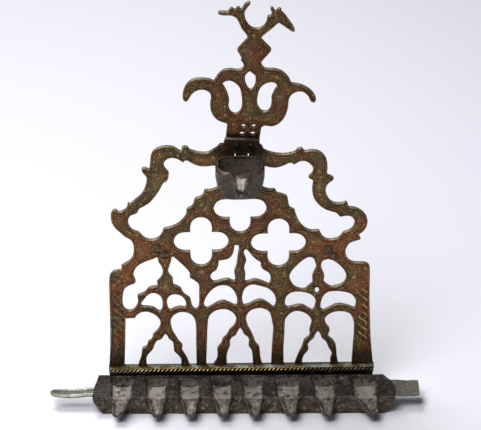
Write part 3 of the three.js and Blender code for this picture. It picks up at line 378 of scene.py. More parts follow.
def new_piece(name, places, faces, values, sharp):
    """A mesh object from places in millimetres, with named values at its vertices, sharp above an angle."""
    mesh = bpy.data.meshes.new(name)
    mesh.from_pydata((np.asarray(places) * MM).tolist(), [], [list(map(int, face)) for face in faces])
    mark(mesh, values)
    weld(mesh, turn_out=True)
    mesh.shade_smooth()
    mesh.set_sharp_from_angle(angle=sharp)
    return placed(name, mesh)


def sheet_piece(name, sheet, front, back, chasing, tarnish, rings=(), chased_here=None):
    """A cast sheet between two depths: chased front, plain back, and walls that follow its outlines."""
    lines = [*sheet.outlines]
    for station in FRONT_STATIONS:
        lines.extend(sheet.line_at(station))
    for x, z, radius in rings:
        lines.extend(circle(x, z, radius + side * RING_HALF) for side in (-1, 0, 1))
    loose = sheet.scattered(SKIN_SPACING, FRONT_STATIONS, SKIN_CLEAR)
    if chased_here is not None:
        fine = sheet.scattered(CHASED_SPACING, FRONT_STATIONS, CHASED_CLEAR)
        loose = np.concatenate([loose[~chased_here(loose)], fine[chased_here(fine)]])
    plan, faces = sheet.triangulated(lines, loose)
    depth = sheet.read(plan).clip(0)
    cut, rub, graver = chasing(plan, depth)
    for x, z, radius in rings:
        away = np.abs(np.hypot(plan[:, 0] - x, plan[:, 1] - z) - radius)
        cut = np.maximum(cut, graved(away, RING_HALF, RING_DEEP))
        graver = np.maximum(graver, graved(away, RING_HALF, RING_DARK))
        rub = np.maximum(rub, bell(away, 2 * RING_HALF, 0.4) * RING_RUBBED)
    flat = upright(plan, 0)
    inner = 1 - bell(depth, 0, FACE_RIM)
    skin = FACE_SINK + FACE_WAVE_HIGH * grains(flat, FACE_WAVE) + inner * FACE_GRAIN_HIGH * grains(
        flat, FACE_GRAIN, 5.0)
    into = edge_fall(depth) + cut + EDGE_SINK * bell(depth, 0, EDGE_SINK_REACH) + inner * (
        skin - FACE_LEVEL).clip(0)

    back_lines = [*sheet.outlines]
    for station in BACK_STATIONS:
        back_lines.extend(sheet.line_at(station))
    back_loose = sheet.scattered(BACK_SPACING, BACK_STATIONS, BACK_CLEAR)
    back_plan, back_faces = sheet.triangulated(back_lines, back_loose)
    back_depth = sheet.read(back_plan).clip(0)
    back_skin = BACK_SINK + BACK_WAVE_HIGH * grains(upright(back_plan, 1), BACK_WAVE, 8.0)
    back_into = edge_fall(back_depth) + (1 - bell(back_depth, 0, BACK_RIM)) * back_skin.clip(0)

    places = [upright(plan, front + into), upright(back_plan, back - back_into)]
    every = [*faces.tolist(), *(back_faces[:, ::-1] + len(plan)).tolist()]
    count = len(plan) + len(back_plan)
    unmarked = np.zeros(len(back_plan))
    values = {"rub": [rub, unmarked], "graver": [graver, unmarked],
              "rim_wear_and_highlight": [sheet.rim_wear_and_highlight(plan, depth), sheet.rim_wear_and_highlight(back_plan, back_depth)]}
    for outline in sheet.outlines:
        n = len(outline)
        for y in (front + EDGE_ROUND, (front + back) / 2, back - EDGE_ROUND):
            places.append(upright(outline, y))
            values["rub"].append(np.zeros(n))
            values["graver"].append(np.zeros(n))
            values["rim_wear_and_highlight"].append(sheet.worn_and_lit_edge(outline))
        for row in range(2):
            for k in range(n):
                a, b = count + row * n + k, count + row * n + (k + 1) % n
                every.append([a, b, b + n, a + n])
        count += 3 * n
    places = np.concatenate(places)
    values = {key: np.concatenate(parts) for key, parts in values.items()}
    values.update(tarnish(places, values["rim_wear_and_highlight"]))
    return new_piece(name, places, every, values, SHEET_TURN)


def drawn_bar(name, rings, values):
    """A closed bar through rings of points, with a flat end at each side."""
    count = rings.shape[1]
    faces = []
    for ring in range(len(rings) - 1):
        for k in range(count):
            a, b = ring * count + k, ring * count + (k + 1) % count
            faces.append([a, b, b + count, a + count])
    faces.append(list(range(count)))
    faces.append([(len(rings) - 1) * count + k for k in range(count)])
    return new_piece(name, rings.reshape(-1, 3), faces, values, BAR_TURN)


def cast_skin(node, name, finish, grain, rounds, unevenness, keep):
    """A finer skin for a solid casting, its edges rubbed round and its faces left uneven by the mould. finish is
    given places, normals, edges and hollows, and says how far each vertex is cut in and the values there. grain
    and unevenness are in millimetres, rounds is how often it is smoothed, and keep the share of faces kept."""
    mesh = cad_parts[node].data.copy()
    weld(mesh, turn_out=False)
    mesh.materials.clear()
    piece = placed(name, mesh)
    remesh = piece.modifiers.new("grain", "REMESH")
    remesh.mode = "VOXEL"
    remesh.voxel_size = grain * MM
    remesh.use_smooth_shade = True
    soften = piece.modifiers.new("soften", "SMOOTH")
    soften.factor = 0.5
    soften.iterations = rounds
    piece.modifiers.new("thin", "DECIMATE").ratio = keep
    settled = bpy.data.meshes.new_from_object(piece.evaluated_get(bpy.context.evaluated_depsgraph_get()))
    piece.modifiers.clear()
    piece.data = settled
    settled.name = name

    count = len(settled.vertices)
    places = np.zeros(count * 3)
    settled.vertices.foreach_get("co", places)
    places = places.reshape(-1, 3) / MM
    normals = np.array([v.normal for v in settled.vertices])
    edges = np.array([e.vertices for e in settled.edges])
    degree = np.bincount(edges.ravel(), minlength=count).clip(1)

    def spread(numbers):
        """The mean over each vertex's neighbours."""
        total = np.zeros_like(numbers)
        np.add.at(total, edges[:, 0], numbers[edges[:, 1]])
        np.add.at(total, edges[:, 1], numbers[edges[:, 0]])
        return total / (degree if numbers.ndim == 1 else degree[:, None])

    bulge = ((places - spread(places)) * normals).sum(1) / grain
    for _ in range(3):
        bulge = (bulge + spread(bulge)) / 2
    cut, values = finish(places, normals, (bulge / FULL_BULGE).clip(0, 1), (-bulge / FULL_BULGE).clip(0, 1))
    uneven = unevenness * (0.9 + grains(places, LUMP) + 0.5 * grains(places, SMALL_LUMP)).clip(0)
    places = places - normals * (cut + uneven)[:, None]
    settled.vertices.foreach_set("co", (places * MM).ravel())
    mark(settled, values)
    settled.shade_smooth()
    settled.update()
    return piece


# Materials

# Crumbs of patina are a few tenths of a millimetre across. They are drawn coarser, at about a pixel and a half.
CRUMB = 1.0
# How far crumbs break a layer's edge, and the span of their noise that turns satin into dull metal
CRUMB_BREAK = 1.2
CRUMB_SPAN = (0.35, 0.65)
# The noise of crumbs and relief, and that of patches
CRUMBLY = {"Detail": 3.0, "Roughness": 0.6}
PATCHY = {"Detail": 4.0, "Roughness": 0.62}
# How far each layer's noise lies from the last one's, and where that of the reliefs starts
LAYER_STEP = 3.7
FIRST_RELIEF = 50


def shade(colour, alpha=1.0):
    """Linear red, green and blue from an sRGB hex value."""
    channels = [int(colour[k:k + 2], 16) / 255 for k in (1, 3, 5)]
    return (*[c / 12.92 if c <= 0.04045 else ((c + 0.055) / 1.055) ** 2.4 for c in channels], alpha)


def bare_material(name):
    """A new material and its empty tree of nodes."""
    material = bpy.data.materials.new(name)
    material.use_nodes = True
    material.node_tree.nodes.clear()
    return material, material.node_tree


def add_node(tree, kind, *values, settings=None, output=None, **named):
    """Adds a node with its settings. Values go to its open inputs in order, named ones by name with _ for a
    space, and a socket is linked. Gives back the named output, or the first open one."""
    node = tree.nodes.new("ShaderNode" + kind)
    for key, value in (settings or {}).items():
        setattr(node, key, value)
    sockets = [socket for socket in node.inputs if socket.enabled]
    pairs = [*zip(sockets, values)]
    pairs += [(next(s for s in sockets if s.name == key.replace("_", " ")), value) for key, value in named.items()]
    for socket, value in pairs:
        if isinstance(value, bpy.types.NodeSocket):
            tree.links.new(value, socket)
        else:
            socket.default_value = value
    return next((s for s in node.outputs if s.enabled and s.name == (output or s.name)), None)


def old_metal(name, ground, layers, roughness, metallic, reliefs):
    """Old metal as its surface came about: a ground colour, then one layer over another. A layer is a colour,
    what it follows (a value at the vertices, or a grain size in millimetres), where it starts and ends on that,
    and how much of it covers. Its edges are broken by crumbs. Reliefs are grain sizes and heights in mm."""
    material, tree = bare_material(name)
    place = add_node(tree, "TexCoord", output="Object")
    crumbs = add_node(tree, "TexNoise", Vector=place, Scale=1 / (CRUMB * MM), **CRUMBLY)
    colour = shade(ground)
    for turn, (tint, source, start, end, most) in enumerate(layers):
        if isinstance(source, str):
            value = add_node(tree, "Attribute", settings={"attribute_name": source}, output="Fac")
            share = add_node(tree, "Math", crumbs, CRUMB_BREAK, value, settings={"operation": "MULTIPLY_ADD"})
            start, end = start + CRUMB_BREAK / 2, end + CRUMB_BREAK / 2
        else:
            share = add_node(tree, "TexNoise", settings={"noise_dimensions": "4D"}, Vector=place,
                             W=turn * LAYER_STEP, Scale=1 / (source * MM), **PATCHY)
        share = add_node(tree, "MapRange", share, start, end, 0, most, settings={"interpolation_type": "SMOOTHSTEP"})
        colour = add_node(tree, "Mix", share, colour, shade(tint), settings={"data_type": "RGBA"})
    normal = None
    for turn, (size, height) in enumerate(reliefs):
        bumps = add_node(tree, "TexNoise", settings={"noise_dimensions": "4D"}, Vector=place,
                         W=FIRST_RELIEF + turn, Scale=1 / (size * MM), **CRUMBLY)
        links = {"Normal": normal} if normal else {}
        normal = add_node(tree, "Bump", Strength=1.0, Distance=height * MM, Height=bumps, **links)
    patchy = add_node(tree, "MapRange", crumbs, *CRUMB_SPAN, *roughness)
    surface = add_node(tree, "BsdfPrincipled", Base_Color=colour, Metallic=metallic, Roughness=patchy, Normal=normal)
    add_node(tree, "OutputMaterial", Surface=surface)
    return material


# Chased cast brass under old brown lacquer: olive and red-brown patches, black in the pits and graved lines,
# thin gold where the raised lines were rubbed, grey on the filed edges painted paler as a highlight where they
# face up, and painted shade in the soot where the crest laps behind the neck tab and below the ledge's top
BROWN_LACQUER = (
    ("#8a4f2b", "ruddy", 0.2, 0.95, 0.85),
    ("#837243", 7.0, 0.5, 0.66, 0.75),
    ("#935a33", 4.0, 0.52, 0.66, 0.7),
    ("#bfa968", 1.7, 0.55, 0.67, 0.8),
    ("#d2b76d", "rub", 0.35, 1.2, 0.8),
    ("#120e0a", "graver", 0.1, 1.0, 0.85),
    # Grey of filed edges, with a painted highlight where they face up
    ("#a3a094", "rim_wear_and_highlight", 0.4, 1.1, 0.75),
    ("#1a140d", 1.4, 0.47, 0.35, 0.9),
    ("#969b91", "verdigris", 0.3, 0.9, 0.85),
    ("#28200f", "soot", 0.15, 1.0, 0.84),
)
# Grey bronze skin of the oil wells: soot in the hollows, worn tin-grey on shelves and spouts, brown below.
# Painted highlights and shade round the pits and ribs, and pits painted paler as fill light
SOOTED = (
    ("#766d61", 3.0, 0.48, 0.62, 0.7),
    ("#4c3f26", "below", 0.3, 0.9, 0.9),
    ("#7d6d40", 5.0, 0.58, 0.7, 0.35),
    ("#b9b0a6", "worn", 0.35, 0.95, 0.85),
    # Pale grey in the pits: painted fill light
    ("#aca89d", "pit", 0.2, 0.9, 0.85),
    ("#c9c0b1", 2.6, 0.5, 0.74, 0.6),
    ("#1a1613", 3.4, 0.52, 0.34, 0.8),
    ("#c9bfa9", "tip", 0.6, 1.1, 0.8),
    ("#7b756c", "rub", 0.7, 1.3, 0.35),
    ("#171412", "graver", 0.3, 1.2, 0.8),
    ("#171412", "soot", 0.2, 1.0, 0.8),
)
# The servant lamp is darker, with a purple cast where lamp black sits in its bowl, the bowl painted paler than
# that black as fill light
LAMP_BLACK = (
    ("#5c5138", 5.0, 0.5, 0.66, 0.7),
    # Pale purple-grey in the bowl: painted fill light over the lamp black's cast
    ("#8f8378", "pit", 0.2, 0.9, 0.8),
    ("#958b84", "worn", 0.35, 0.95, 0.9),
    ("#a1968e", 2.2, 0.52, 0.72, 0.5),
    ("#1d1817", 2.8, 0.5, 0.34, 0.8),
    ("#b0a79d", "tip", 0.4, 1.1, 0.8),
    ("#716a68", "rub", 0.6, 1.3, 0.4),
    ("#110e0d", "graver", 0.3, 1.2, 0.85),
)

# Cast and chased brass, lacquered long ago: metal still shows through the brown, satin on the high places and
# dull in the low ones. The relief is the mould's sand, drawn at 4 and 1.5 mm, because its real grain is too fine
plate_cast = old_metal("cast_brass_plate_brown_lacquer", "#604c2d", BROWN_LACQUER, roughness=(0.38, 0.6),
                       metallic=0.55, reliefs=((4.0, 0.5), (1.5, 0.26)))
# Cast bronze that was never polished and has oil burnt on it: grey, rough and with little shine
row_cast = old_metal("cast_bronze_wells_sooted", "#59514a", SOOTED, roughness=(0.42, 0.62), metallic=0.5,
                     reliefs=((3.0, 0.4), (1.3, 0.2)))
# The same bronze, blacker from its flame, and smoother where the wick was trimmed
cup_cast = old_metal("cast_bronze_servant_lamp_sooted", "#453d30", LAMP_BLACK, roughness=(0.36, 0.55),
                     metallic=0.5, reliefs=((3.0, 0.35), (1.3, 0.22)))
# Hammered bronze strip, worn bare: pale grey with flat bright dents, and hardly any soot
strip_cast = old_metal("hammered_bronze_strip_worn", "#7e7e74", (
    ("#9c9d92", 3.0, 0.45, 0.6, 0.7),
    ("#8f8270", "ruddy", 0.3, 0.9, 0.7),
    ("#4a4a42", 1.8, 0.44, 0.36, 0.7),
    ("#c3c4b8", "rub", 0.3, 1.1, 0.8),
    ("#26241f", "graver", 0.3, 1.0, 0.85),
), roughness=(0.32, 0.5), metallic=0.6, reliefs=((2.5, 0.2), (1.2, 0.08)))
# Drawn brass wire, twisted: the brightest metal here, rubbed gold on its crests with a painted highlight on the
# upper ones, and black between its strands, with painted shade over its lower half
rope_wire = old_metal("twisted_brass_wire_rubbed", "#3c2f1c", (
    ("#8b8473", "dull", 0.2, 0.8, 0.85),
    ("#d9b67c", "rub", 0.2, 0.9, 0.95),
    ("#0e0a07", "soot", 0.1, 0.8, 0.96),
), roughness=(0.25, 0.42), metallic=0.85, reliefs=((1.0, 0.05),))
# Iron, peened by hammer and blackened: nearly black, with small dull facets
rivet_iron = old_metal("peened_iron_blackened", "#15100f", (
    ("#2c2620", 1.6, 0.5, 0.62, 0.8),
    ("#5b564c", 1.1, 0.6, 0.7, 0.5),
    ("#3b352e", "rub", 0.4, 1.2, 0.5),
), roughness=(0.45, 0.65), metallic=0.5, reliefs=((1.2, 0.15),))
# Brass, peened and under old dirt: mottled brown and grey with pale flecks, and no shine
rivet_brass = old_metal("peened_brass_rivet_tarnished", "#54402f", (
    ("#7c8078", 1.8, 0.5, 0.6, 0.85),
    ("#6f3f26", 2.2, 0.52, 0.62, 0.8),
    ("#14100d", 1.5, 0.47, 0.38, 0.9),
    ("#b7aa98", 1.2, 0.6, 0.68, 0.85),
    ("#8a8278", "rub", 0.6, 1.2, 0.5),
), roughness=(0.6, 0.8), metallic=0.3, reliefs=((1.4, 0.3),))


def dress(piece, material, body, node):
    """Gives a piece its material, puts it on the body it rides on, and hides the CAD node it stands for."""
    piece.data.materials.clear()
    piece.data.materials.append(material)
    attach(piece, body)
    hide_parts(node)


# Back plate

plate_low, plate_high = node_box("backplate")
LEDGE_DEPTH = 2.7
LEDGE_THICKNESS = 2.4
LEDGE_TOP = 18.8
plate_front = plate_low[1] + LEDGE_DEPTH
plate_back = plate_high[1]
lamp_middle = (plate_low[0] + plate_high[0]) / 2

# Braids on the two posts: the middle line's x at the foot, its lean, heights, and how much gold is left on it
BRAIDS = ((-78.3, 0.02, 38.0, 97.0, 0.6), (86.6, -0.02, 36.0, 98.0, 1.3))
# A braid's turn, how far its strands swing, its half width and depth, in millimetres
BRAID_PITCH = 12.4
BRAID_SWING = 2.5
BRAID_HALF = 3.7
BRAID_DEEP = 0.34
BRAID_SIDE = (BRAID_HALF, BRAID_HALF - 0.4)
# A gold ridge runs beside it: (start, end) of its near and far sides. The gold fades near the braid's top
RIDGE_NEAR, RIDGE_FAR = (BRAID_HALF - 0.5, BRAID_HALF + 0.3), (BRAID_HALF + 3.5, BRAID_HALF + 3)
GOLD_ABOVE, GOLD_BELOW = 8, 30
# A strand's half width, the gap it leaves beside the one on top, and how high it stands where it runs below
STRAND_HALF = 0.7
STRAND_GAP = 1.8
UNDER_SHARE = 0.45
# Worn patches of the chasing and of the braids' gold, in millimetres
WORN_PATCH = 9.0
GOLD_PATCH = 5.0
# Graved rings: x, z and radius
PLATE_RINGS = ((-20.9, 148.0, 3.2), (28.4, 146.8, 3.2), (28.4, 146.8, 1.4))
CREST_RINGS = ((13.6, 262.8, 2.9), (13.6, 262.8, 1.1))

# Where the plate's tarnish comes in, in millimetres: (start, end) up the plate or away from a middle
TARNISH_PATCH = 13.0
ARMS_UP, ARMS_AWAY = (128, 150), (18, 34)
NECK_MIDDLE, NECK_UP, NECK_AWAY = 3.5, (180, 187), (25, 13)
# TAB_EDGE: the neck tab's top edge, left pale in the soot as a painted highlight
TAB_EDGE = (195.8, 196.6)
FOOT_UP, FOOT_ACROSS = (46, 22), (20, 60)
BAYS_AWAY = (76, 68)
LEDGE_GREEN = (LEDGE_TOP + 3.5, LEDGE_TOP + 0.8)
# The red-brown shoulders: (middle, width) away from the lamp's middle, and up
SHOULDER_AWAY, SHOULDER_UP = (62, 16), (110, 18)

# The same for the crest: painted shade on the lap behind the neck tab, its red foot and the green bird
CREST_PATCH = 11.0
LAP_SHADOW, LAP_PAINTED_SHADE = (198.4, 197.2), (200.2, 198.0)
CREST_FOOT, BIRD_UP = (214, 204), (266, 284)

# Openings that dirt has narrowed, by their size in millimetres, and what it leaves of them
SLOT_SIZE, SLOT_DIRT = (10.6, 3.9), (1.5, 1.0)
RING_SIZE, RING_SHARES = (3.9, 6.9), (0.74, 0.78)
PUNCHED_SIZE, PUNCHED_BREAK = 2.9, 200
PUNCHED_LOW, PUNCHED_HIGH = ((0.4, -1.0), (1.35, 0.85)), ((0.3, -0.3), (1.15, 0.85))
SIZE_TOLERANCE = 0.6


def braid_here(points):
    """Where a post carries its braid."""
    here = np.zeros(len(points), bool)
    for foot, lean, low, high, _ in BRAIDS:
        here |= (np.abs(points[:, 0] - foot - lean * points[:, 1]) < BRAID_HALF) & (
            points[:, 1] > low) & (points[:, 1] < high)
    return here


def border_lines(depth):
    """The two graved lines inside an outline and the rubbed ridges between them."""
    cut = np.maximum(graved(depth - OUTER_LINE, OUTER_HALF, OUTER_DEEP),
                     graved(depth - INNER_LINE, INNER_HALF, INNER_DEEP))
    ridge = np.maximum(bell(depth, RIDGE_LINE, 0.4), 0.6 * bell(depth, 0.85, 0.3))
    return cut, ridge, cut / OUTER_DEEP


def braid_strands(across, up):
    """How high two strands stand that swing across each other, each going over and under in turn."""
    turn = 2 * math.pi * up / BRAID_PITCH
    swing = BRAID_SWING * np.sin(turn)
    steep = np.sqrt(1 + (2 * math.pi * BRAID_SWING / BRAID_PITCH * np.cos(turn)) ** 2)
    one, other = (np.abs(across - side * swing) / steep for side in (1, -1))
    falling = eased(np.cos(turn), 0.2, -0.2)
    return np.maximum(
        bell(one, 0, STRAND_HALF) * (falling + (1 - falling) * UNDER_SHARE * eased(other, 0, STRAND_GAP)),
        bell(other, 0, STRAND_HALF) * (1 - falling + falling * UNDER_SHARE * eased(one, 0, STRAND_GAP)))


def plate_chasing(plan, depth):
    """Graved borders over the whole plate, and braids of two strands up the posts, with a gold ridge beside."""
    cut, ridge, graver = border_lines(depth)
    flat = upright(plan, 0)
    worn = eased(grains(flat, WORN_PATCH, 2.0), -0.25, 0.3)
    rub = ridge * (0.25 + 0.75 * worn)
    for foot, lean, low, high, gold in BRAIDS:
        up = plan[:, 1]
        across = plan[:, 0] - foot - lean * up
        inside = eased(np.abs(across), *BRAID_SIDE) * eased(up, low - 1, low + 1) * eased(up, high + 1, high - 1)
        strand = braid_strands(across, up - low)
        lit = eased(up, high + GOLD_ABOVE, high - GOLD_BELOW) * (
            0.4 + 0.6 * eased(grains(flat, GOLD_PATCH, 6.0), -0.3, 0.2))
        beside = eased(across, *RIDGE_NEAR) * eased(across, *RIDGE_FAR)
        cut = cut * (1 - inside) + inside * BRAID_DEEP * (1 - strand)
        rub = np.maximum(rub * (1 - inside), inside * strand * gold * lit)
        rub = np.maximum(rub, 1.1 * gold * lit * bell(depth, RIDGE_LINE, 0.45) * beside)
        graver = graver * (1 - inside) + inside * (1 - strand) * (0.35 + 0.45 * lit)
    return cut, rub, graver


def crest_chasing(plan, depth):
    """The same borders, less rubbed, and a painted shadow line where the crest goes behind the neck tab."""
    cut, ridge, graver = border_lines(depth)
    worn = eased(grains(upright(plan, 0), WORN_PATCH, 4.0), -0.2, 0.4)
    # Painted shadow where the crest goes behind the neck tab
    lap_painted_shade = 1.3 * eased(plan[:, 1], *LAP_SHADOW)
    return cut, ridge * (0.15 + 0.6 * worn), np.maximum(graver, lap_painted_shade)


def plate_tarnish(places, rim_wear_and_highlight):
    """Red-brown shoulders, brown bays, olive arms, soot round the neck and at the foot, verdigris at the ledge.
    The neck tab's top edge stays pale through the soot as a painted highlight.
    """
    x, y, z = places.T
    drift = grains(places, TARNISH_PATCH, 1.0)
    away = np.abs(x - lamp_middle)
    arms = eased(z, *ARMS_UP) * eased(away, *ARMS_AWAY)
    neck = eased(np.abs(x - NECK_MIDDLE), *NECK_AWAY) * eased(z, *NECK_UP)
    foot = eased(z, *FOOT_UP) * (0.8 + 0.15 * eased(x, *FOOT_ACROSS))
    shoulder = bell(away, *SHOULDER_AWAY) * bell(z, *SHOULDER_UP)
    bays = (1 - shoulder) * eased(away, *BAYS_AWAY) * (1 - arms)
    # Painted highlight: the soot gives way on the neck tab's top edge, where the rim faces up
    soot = np.maximum(neck * (1 - 0.55 * rim_wear_and_highlight * eased(z, *TAB_EDGE)), foot + 0.3 * drift * foot)
    return {
        "ruddy": (0.62 - 0.5 * arms + 0.9 * drift + 0.5 * shoulder).clip(0, 1),
        "soot": np.maximum(soot, bays * (0.34 + 0.3 * drift)).clip(0, 1),
        # The verdigris follows the rim, so it is paler where edges face up, as a painted highlight
        "verdigris": eased(z, *LEDGE_GREEN) * rim_wear_and_highlight,
    }


def crest_tarnish(places, rim_wear_and_highlight):
    """Brown with a red foot, painted shade where it laps behind the neck tab, and verdigris on the bird's edges,
    paler where they face up as a painted highlight.
    """
    x, y, z = places.T
    drift = grains(places, CREST_PATCH, 7.0)
    return {
        "ruddy": (0.5 + 0.9 * drift + 0.4 * eased(z, *CREST_FOOT)).clip(0, 1),
        # Soot, and painted shade on the lap behind the neck tab
        "soot": np.maximum(0.38 + 0.4 * drift, 1.3 * eased(z, *LAP_PAINTED_SHADE)).clip(0, 1),
        "verdigris": rim_wear_and_highlight * eased(z, *BIRD_UP) * 0.8,
    }


def trimmed(outline):
    """The outline of an opening as dirt leaves it: a lower slot in the neck, and narrower small holes."""
    low, high = outline.min(0), outline.max(0)
    size, middle = high - low, (low + high) / 2
    if (np.abs(size - SLOT_SIZE) < SIZE_TOLERANCE).all():
        foot = np.array((middle[0], low[1]))
        return foot + (outline - foot) * (1 - SLOT_DIRT / size)
    if (np.abs(size - RING_SIZE) < SIZE_TOLERANCE).all():
        return middle + (outline - middle) * RING_SHARES
    if size.max() < PUNCHED_SIZE:
        shift, shares = PUNCHED_LOW if low[1] < PUNCHED_BREAK else PUNCHED_HIGH
        return middle + shift + (outline - middle) * shares
    return outline


plate = CastSheet([trimmed(outline) for outline in face_outlines("backplate", plate_back)])
dress(sheet_piece("openwork_plate", plate, plate_front, plate_back, plate_chasing, plate_tarnish, PLATE_RINGS,
                  braid_here), plate_cast, "lamp", "backplate")

crest_low, crest_high = node_box("finial")
crest = CastSheet([trimmed(outline) for outline in face_outlines("finial", crest_high[1])])
dress(sheet_piece("crest", crest, crest_low[1], crest_high[1], crest_chasing, crest_tarnish, CREST_RINGS),
      plate_cast, "lamp", "finial")


# Ledge and rope

# The ledge, in millimetres: steps along it, how far it goes into the plate, soft edges, and dips in its top
LEDGE_STEP = 0.7
LEDGE_INTO = 1.2
LEDGE_SOFT = 0.5
LEDGE_DIP = 0.5
LEDGE_PIT, LEDGE_WAVE, LEDGE_PATCH = 2.6, 7.0, 6.0

# The rope: the length of one turn and of a step along it, in millimetres, and the points round it
ROPE_TURN = 8.25
ROPE_STEP = 0.3
ROPE_POINTS = 24
# Where its gold is best, and where it goes dull towards its left and right ends
ROPE_GOLD_MIDDLE, ROPE_GOLD_AWAY = -12, (78, 35)
ROPE_DULL_LEFT, ROPE_DULL_RIGHT = (-50, -66), (45, 60)


def ledge_bar():
    """The ledge in front of the plate's foot: a cast bar, its top pitted and its front edge soft, with painted shade
    below its top.
    """
    stations = np.append(np.arange(plate_low[0], plate_high[0], LEDGE_STEP), plate_high[0])
    front, back, top, bottom = plate_low[1], plate_front + LEDGE_INTO, LEDGE_TOP, LEDGE_TOP - LEDGE_THICKNESS
    section = [(front, bottom + LEDGE_SOFT), (front, top - LEDGE_SOFT), (front + 0.2, top - 0.15), (front + 0.6, top)]
    section += [(y, top) for y in np.linspace(front + 1.1, back, 6)]
    section += [(back, bottom), (front + 0.6, bottom)]
    rings = np.array([[(x, y, z) for y, z in section] for x in stations])
    flat = rings.reshape(-1, 3)
    upper = eased(flat[:, 2], bottom + 1, top)
    dip = (0.16 + 0.3 * grains(flat, LEDGE_PIT, 3.0) + 0.25 * grains(flat, LEDGE_WAVE, 4.0)).clip(0, LEDGE_DIP)
    rings[:, :, 2] -= (upper * dip).reshape(rings.shape[:2])
    nothing = np.zeros(len(flat))
    patchy = grains(flat, LEDGE_PATCH, 9.0)
    return drawn_bar("ledge_bar", rings, {
        "rub": nothing, "graver": nothing, "rim_wear_and_highlight": nothing,
        "ruddy": (0.2 + 0.6 * patchy).clip(0, 1),
        "verdigris": (0.55 + 0.9 * patchy).clip(0, 1) * upper,
        # Painted shade: darker below the top, on the front face and underneath
        "soot": eased(flat[:, 2], top - 0.6, top - 1.4),
    })


def rope_moulding():
    """Three brass wires laid round each other, their crests rubbed bright along the middle of the lamp, with a
    painted highlight on top and painted shade below.
    """
    middle = (rope_low + rope_high) / 2
    outer = (rope_high[2] - rope_low[2]) / 2
    wire = outer / (1 + 2 / math.sqrt(3))
    away = outer - wire
    stations = np.linspace(rope_low[0], rope_high[0], round((rope_high[0] - rope_low[0]) / ROPE_STEP) + 1)
    turns = np.arange(ROPE_POINTS) / ROPE_POINTS * 2 * math.pi
    third = 2 * math.pi / 3
    lobe = (turns + third / 2) % third - third / 2
    radius = away * np.cos(lobe) + np.sqrt((wire ** 2 - (away * np.sin(lobe)) ** 2).clip(0.004))
    rings = []
    for x in stations:
        angle = turns - 2 * math.pi * (x - rope_low[0]) / ROPE_TURN
        rings.append(np.stack([np.full(ROPE_POINTS, x), middle[1] + radius * np.cos(angle),
                               middle[2] + radius * np.sin(angle)], 1))
    rings = np.array(rings)
    x, y, z = rings.reshape(-1, 3).T
    crests, strands = (np.tile(eased(radius, low * outer, high * outer), len(stations))
                       for low, high in ((0.75, 0.97), (0.45, 0.85)))
    height = (z - middle[2]) / outer
    along = eased(np.abs(x - ROPE_GOLD_MIDDLE), *ROPE_GOLD_AWAY)
    return drawn_bar("rope_moulding", rings, {
        # Rubbed gold, and a painted highlight: it keeps to the crests on the upper half
        "rub": crests * eased(height, 0.0, 1.0) * (0.3 + 0.7 * along),
        "dull": eased(x, *ROPE_DULL_LEFT) + 0.4 * eased(x, *ROPE_DULL_RIGHT),
        # Dirt between the strands, and painted shade over the lower half
        "soot": np.maximum(1 - strands, eased(height, 0.15, -0.5)) * (1 - 0.3 * crests),
    })


rope_low, rope_high = node_box("rope_rail")
dress(ledge_bar(), plate_cast, "lamp", "backplate")
dress(rope_moulding(), rope_wire, "lamp", "rope_rail")


# Row of oil wells

# The gap behind the row, how much wider it is at the right end, and the row's and spouts' sizes, in millimetres
ROW_GAP = 3.0
ROW_SKEW = 2.8
ROW_DEPTH = 25.0
ROW_LENGTH = 202.0
SPOUT_LENGTH = 12.5
SPOUT_TIP_HALF = 3.8
# Middle and half width of each well, and how far its spout leans sideways
WELLS = np.array(((-75.0, 8.0, -3.4), (-52.2, 7.8, 0), (-30.2, 7.8, 0), (-8.6, 7.6, 0.2), (12.0, 7.8, 0.4),
                  (35.5, 8.9, 1.2), (59.7, 8.0, 1.0), (86.6, 9.6, 4.4)))
# Heights over which each finish comes in, in millimetres: (start, end)
RIB_UP = (13.4, 14.0)
SHELF_DOWN, SPOUT_UP = (14.2, 13.7), (6.5, 8.0)
# The lip is a painted highlight on the pits' sloping front walls, and the pits get a painted fill light
LIP_UP, PIT_DOWN, FRONT_DOWN = (12.5, 13.2), (14.1, 12.6), (14.0, 13.0)
# How far behind the row's front edge they lie, and how far beyond it the bright tips start
LIP_BEHIND, PIT_BEHIND = 7.2, (8.0, 10.0)
TIP_BEYOND = (10.0, 11.6)
# Painted highlight on the ribs' inner ends: (middle, width) outward, and across from a well's middle in half widths
RIB_END_OUT, RIB_END_ACROSS = (11.0, 2.2), (1.42, 0.22)
LEFT_END = (-82, -86)
ROW_PATCH = 4.0


